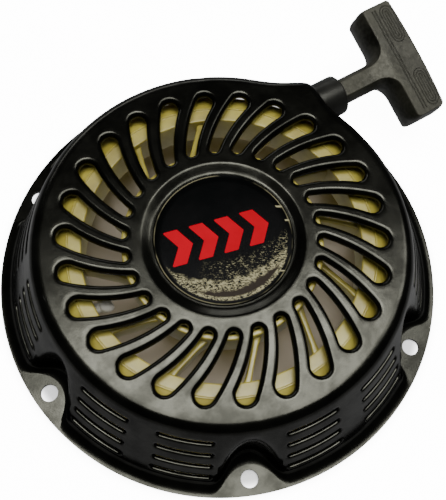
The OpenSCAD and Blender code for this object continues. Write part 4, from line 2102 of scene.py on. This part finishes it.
@dataclass
class Label:
    """The worn round label and its row of red chevrons.

    Attributes:
        radius: The label's radius.
        low: Its underside.
        thick: Its thickness.
        mark_turn: Direction in degrees that the chevrons point.
        mark_at: The middle of the row.
        chevrons: How many chevrons.
        pitch: Distance between them.
        tall: Their height across the row.
        stroke: Their arms' width along the row.
        point: How far their point leads their ends.
        sides: Sides of the label's round edge.
    """

    radius: float = 31.0
    low: float = 44.5
    thick: float = 0.3
    mark_turn: float = -13.5
    mark_at: tuple[float, float] = (-1.6, 1.6)
    chevrons: int = 4
    pitch: float = 11.6
    tall: float = 16.5
    stroke: float = 6.6
    point: float = 5.0
    sides: int = 144

    def mark(self) -> Piece:
        """The chevrons, a printed film's thickness above the label."""
        top = self.low + self.thick + 0.06
        half, lead, stroke = self.tall / 2, self.point, self.stroke
        shape = [(0, -half, 0.5), (stroke, -half, 0.5), (stroke + lead, 0, 0.6), (stroke, half, 0.5),
                 (0, half, 0.5), (lead, 0, 0.6)]  # fmt: skip
        outline = rounded(shape, closed=True)
        mesh = Mesh()
        for k in range(self.chevrons):
            shift = (k - (self.chevrons - 1) / 2) * self.pitch - (stroke + lead) / 2
            flat = np.column_stack([outline + [shift, 0], np.full(len(outline), top)])
            flat = turned(flat, self.mark_turn) + [*self.mark_at, 0]
            lower = flat - [0, 0, 0.1]
            numbers = mesh.grid(np.array([flat, lower]), wrap=True)
            mesh.cap(numbers[0])
        return mesh.build("red_chevrons")

    def build(self, kit: Kit) -> None:
        """Makes and dresses the label and its mark.

        Args:
            kit: The materials.
        """
        top = self.low + self.thick
        mesh = Mesh()
        profile = [[self.radius, self.low - 0.05], [self.radius, top - 0.1], [self.radius - 0.1, top]]
        profile += [[r, top] for r in (27, 20, 12, 5, 0.4)]
        lathe(mesh, np.array(profile), self.sides, closed=False)
        mesh.cap(range(mesh.count - self.sides, mesh.count))
        piece = mesh.build("label_film")
        kit.dress(piece, "label", Body.ROOT, ["label_disc"])
        kit.dress(self.mark(), "label", Body.ROOT, ["label_disc"], kit.red)


# ---------------------------------------------------------------- studio


@dataclass
class Studio:
    """The camera, the soft lights and the pale floor.

    Attributes:
        distance: Camera distance from the frame's origin, in metres.
        elevation: Camera elevation in degrees.
        azimuth: Direction the camera looks from, 0 from -Y.
        roll: Camera roll in degrees.
        lens: Focal length in millimetres.
        shift: Lens shift across and up.
        key: Radiance of the overhead box.
        band: Radiance added along the far side of the box.
        rim: Radiance of the strip beyond the object.
        side: Radiance of the box that the grip's flat face mirrors.
        low: Radiance of the box below the floor, which lights the underside.
        swing: Turn of the lights about the object, from the camera's right.
        ambient: Strength of the surroundings.
        floor_mirror: The floor's tone in reflections.
        floor_glow: How much brighter the floor looks to the camera, but for its part under the case.
    """

    distance: float = 0.3325
    elevation: float = 70.57
    azimuth: float = -36.8
    roll: float = 6.55
    lens: float = 47.8
    shift: tuple[float, float] = (0.0068, 0.0434)
    key: float = 11.3
    band: float = 12.0
    rim: float = 4.0
    side: float = 9.0
    low: float = 4.0
    swing: float = 11.0
    ambient: float = 0.055
    floor_mirror: float = 0.18
    floor_glow: float = 14.0

    def camera(self) -> None:
        """Makes the camera and sets it as the scene's."""
        data = bpy.data.cameras.new("camera")
        data.lens = self.lens
        data.shift_x, data.shift_y = self.shift
        data.clip_start = 0.01
        made = linked("camera", data)
        turn = (
            Matrix.Rotation(math.radians(self.azimuth), 4, "Z")
            @ Matrix.Rotation(math.radians(90 - self.elevation), 4, "X")
            @ Matrix.Rotation(math.radians(self.roll), 4, "Z")
        )
        made.matrix_world = turn @ Matrix.Translation((0, 0, self.distance))
        bpy.context.scene.camera = made

    def light(
        self,
        name: str,
        place: tuple[float, float, float],
        size: tuple[float, float],
        radiance: float,
        aim: tuple[float, float, float],
    ) -> None:
        """Makes a soft rectangular light.

        Args:
            name: The light's name.
            place: Where it stands, along the pull side, towards the far side, and up.
            size: Its width and height.
            radiance: How bright its face is.
            aim: The point that it looks at, in the same directions.
        """
        data = bpy.data.lights.new(name, "AREA")
        data.shape = "RECTANGLE"
        data.size, data.size_y = size
        data.energy = radiance * math.pi * size[0] * size[1]
        turn = Matrix.Rotation(math.radians(self.azimuth + self.roll + self.swing), 4, "Z")
        look = (Vector(place) - Vector(aim)).to_track_quat("Z", "Y").to_matrix().to_4x4()
        linked(name, data).matrix_world = turn @ Matrix.Translation(place) @ look

    def floor(self) -> None:
        """Makes the pale floor, which looks dimmer in reflections than to the eye, with a painted shadow
        darkening it under the case.
        """
        mesh = Mesh()
        steps = np.linspace(-2500, 2500, 21)
        x, y = np.meshgrid(steps, steps)
        mesh.grid(np.stack([x, y, np.full_like(x, -0.2)], -1))
        floor = mesh.build("floor")
        material = bpy.data.materials.new("pale_floor")
        work, shader = opened(material)
        tone = work.ramp(work.noise(work.place(), 9, 3, 0.5), 0.2, 0.8)
        pale = work.mix(tone, (*PALE_FLOOR[0], 1), (*PALE_FLOOR[1], 1))
        reach = work.node("VectorMath", operation="LENGTH")
        work.feed(reach.inputs[0], work.place())
        # painted shadow: the floor is darkened towards SHADED_FLOOR under the case
        pale = work.mix(work.ramp(reach.outputs["Value"], 0.07, 0.1), (*SHADED_FLOOR, 1), pale)
        path = work.node("LightPath")
        mirrored = (self.floor_mirror, self.floor_mirror, self.floor_mirror, 1)
        work.feed(shader.inputs["Base Color"], work.mix(path.outputs["Is Glossy Ray"], pale, mirrored))
        glow = work.ramp(reach.outputs["Value"], 0.1, 0.112)
        work.feed(shader.inputs["Emission Color"], work.mix(glow, (0.0, 0.0, 0.0, 1), pale))
        seen = work.times(path.outputs["Is Camera Ray"], self.floor_glow)
        work.feed(shader.inputs["Emission Strength"], seen)
        shader.inputs["Roughness"].default_value = 0.7
        shader.inputs["Specular IOR Level"].default_value = 0.2
        # the floor hides nothing from below, and the low light passes through it
        below = work.node("NewGeometry").outputs["Backfacing"]
        hidden = work.higher(below, path.outputs["Is Shadow Ray"])
        sides = work.node("MixShader")
        work.feed(sides.inputs[0], hidden)
        work.feed(sides.inputs[1], shader.outputs[0])
        work.feed(sides.inputs[2], work.node("BsdfTransparent").outputs[0])
        work.feed(material.node_tree.nodes["Material Output"].inputs["Surface"], sides.outputs[0])
        floor.data.materials.append(material)

    def build(self) -> None:
        """Sets up the camera, the lights, the world and the floor."""
        self.camera()
        self.light("overhead_softbox", (0.06, -0.0125, 1.3), (0.92, 0.675), self.key, (0.06, -0.0125, 0.0))
        self.light("bright_band", (0.06, 0.24, 1.29), (0.8, 0.17), self.band, (0.06, 0.24, 0.0))
        self.light("grip_box", (0.9, 0.22, 1.3), (0.4, 0.5), self.side, (0.12, 0.1, 0.03))
        self.light("far_strip", (-0.3, 2.2, 0.9), (2.4, 0.35), self.rim, (0.0, 0.0, 0.05))
        self.light("low_box", (0.0, 0.0, -1.0), (1.2, 1.2), self.low, (0.0, 0.0, 0.0))
        world = bpy.data.worlds.new("studio")
        world.use_nodes = True
        work = Shader(world.node_tree)
        sky = world.node_tree.nodes["Background"]
        seen = work.node("LightPath").outputs["Is Camera Ray"]
        work.feed(sky.inputs[0], work.mix(seen, (*SKY, 1), (*PALE_FLOOR[1], 1)))
        work.feed(sky.inputs[1], work.plus(work.times(seen, self.floor_glow), self.ambient))
        bpy.context.scene.world = world
        self.floor()


def finishes() -> list[tuple[str, Finish]]:
    """The finish of each material slot."""
    return [
        ("black_paint", Finish(
            "black_paint", (0.0004, 0.0004, 0.0003), (0.001, 0.001, 0.0008), 0.2, 0.06, fine=1300,
            grain=0.00002, wave=4.0, dust_and_sheen=0.0008, scratch=0.02, gloss=0.245, tint=(1.0, 1.0, 0.82),
            mottle=0.35, spots=80,
        )),
        ("zinc_steel", Finish(
            "zinc_steel", (0.72, 0.71, 0.67), (0.6, 0.59, 0.55), 0.32, 0.08, metallic=1.0, scratch=0.5,
            wear_color=(0.85, 0.85, 0.83),
        )),
        ("spring_steel", Finish(
            "spring_steel", (0.4, 0.42, 0.48), (0.3, 0.31, 0.34), 0.28, 0.06, metallic=1.0,
        )),
        ("pawl_steel", Finish(
            "pawl_steel", (0.55, 0.53, 0.49), (0.42, 0.4, 0.36), 0.36, 0.08, metallic=1.0, wear=0.6,
            wear_color=(0.8, 0.8, 0.77),
        )),
        ("label", LabelFinish(
            "label_film", (0.0009, 0.0011, 0.0011), (0.0018, 0.0018, 0.0018), 0.26, 0.05, gloss=0.025,
        )),
        ("black_plastic", Finish(
            "guide_nylon", (0.004, 0.004, 0.0035), (0.008, 0.008, 0.007), 0.36, 0.06, fine=3500,
            dust_and_sheen=0.006, gloss=0.2, tint=(1.0, 1.0, 0.88),
        )),
        # the grip's lighter edges are partly a painted highlight along its rims, and its dust film partly a
        # painted sheen
        ("grip_plastic", GripFinish(
            "grip_plastic", (0.002, 0.002, 0.0014), (0.018, 0.0176, 0.0125), 0.38, 0.2, fine=2200,
            grain=0.00004, wave=2.0, dust_and_sheen=0.02, wear=0.7, wear_color=(0.1, 0.097, 0.07), gloss=0.24,
            tint=(1.0, 0.98, 0.8), mottle=0.28, spots=600,
        )),
        ("cream_nylon", Finish(
            "cream_nylon", (0.3, 0.255, 0.045), (0.2, 0.162, 0.024), 0.3, 0.06, fine=1800,
            grain=0.00002, soft=0.15, gloss=0.4,
        )),
        ("rope", Finish("rope_fibre", (0.46, 0.445, 0.39), (0.35, 0.335, 0.29), 0.85, 0.05)),
    ]  # fmt: skip


RED_INK = Finish("red_ink", (0.38, 0.0, 0.009), (0.33, 0.0, 0.007), 0.6, 0.05, gloss=0.02)


def main() -> None:
    """Builds every piece in order."""
    logging.basicConfig(level=logging.INFO, format="%(message)s")
    groups = Groups()
    kit = Kit(groups, {slot: finish.build(groups) for slot, finish in finishes()}, RED_INK.build(groups))
    Studio().build()
    CaseShell().build(kit)
    Label().build(kit)
    RopeGuide().build(kit)
    Reel().build(kit)
    ReturnSpring().build(kit)
    Rope().build(kit)
    Ratchet().build(kit)
    Hardware().build(kit)
    Grip().build(kit)
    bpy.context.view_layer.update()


if __name__ == "__main__":
    main()
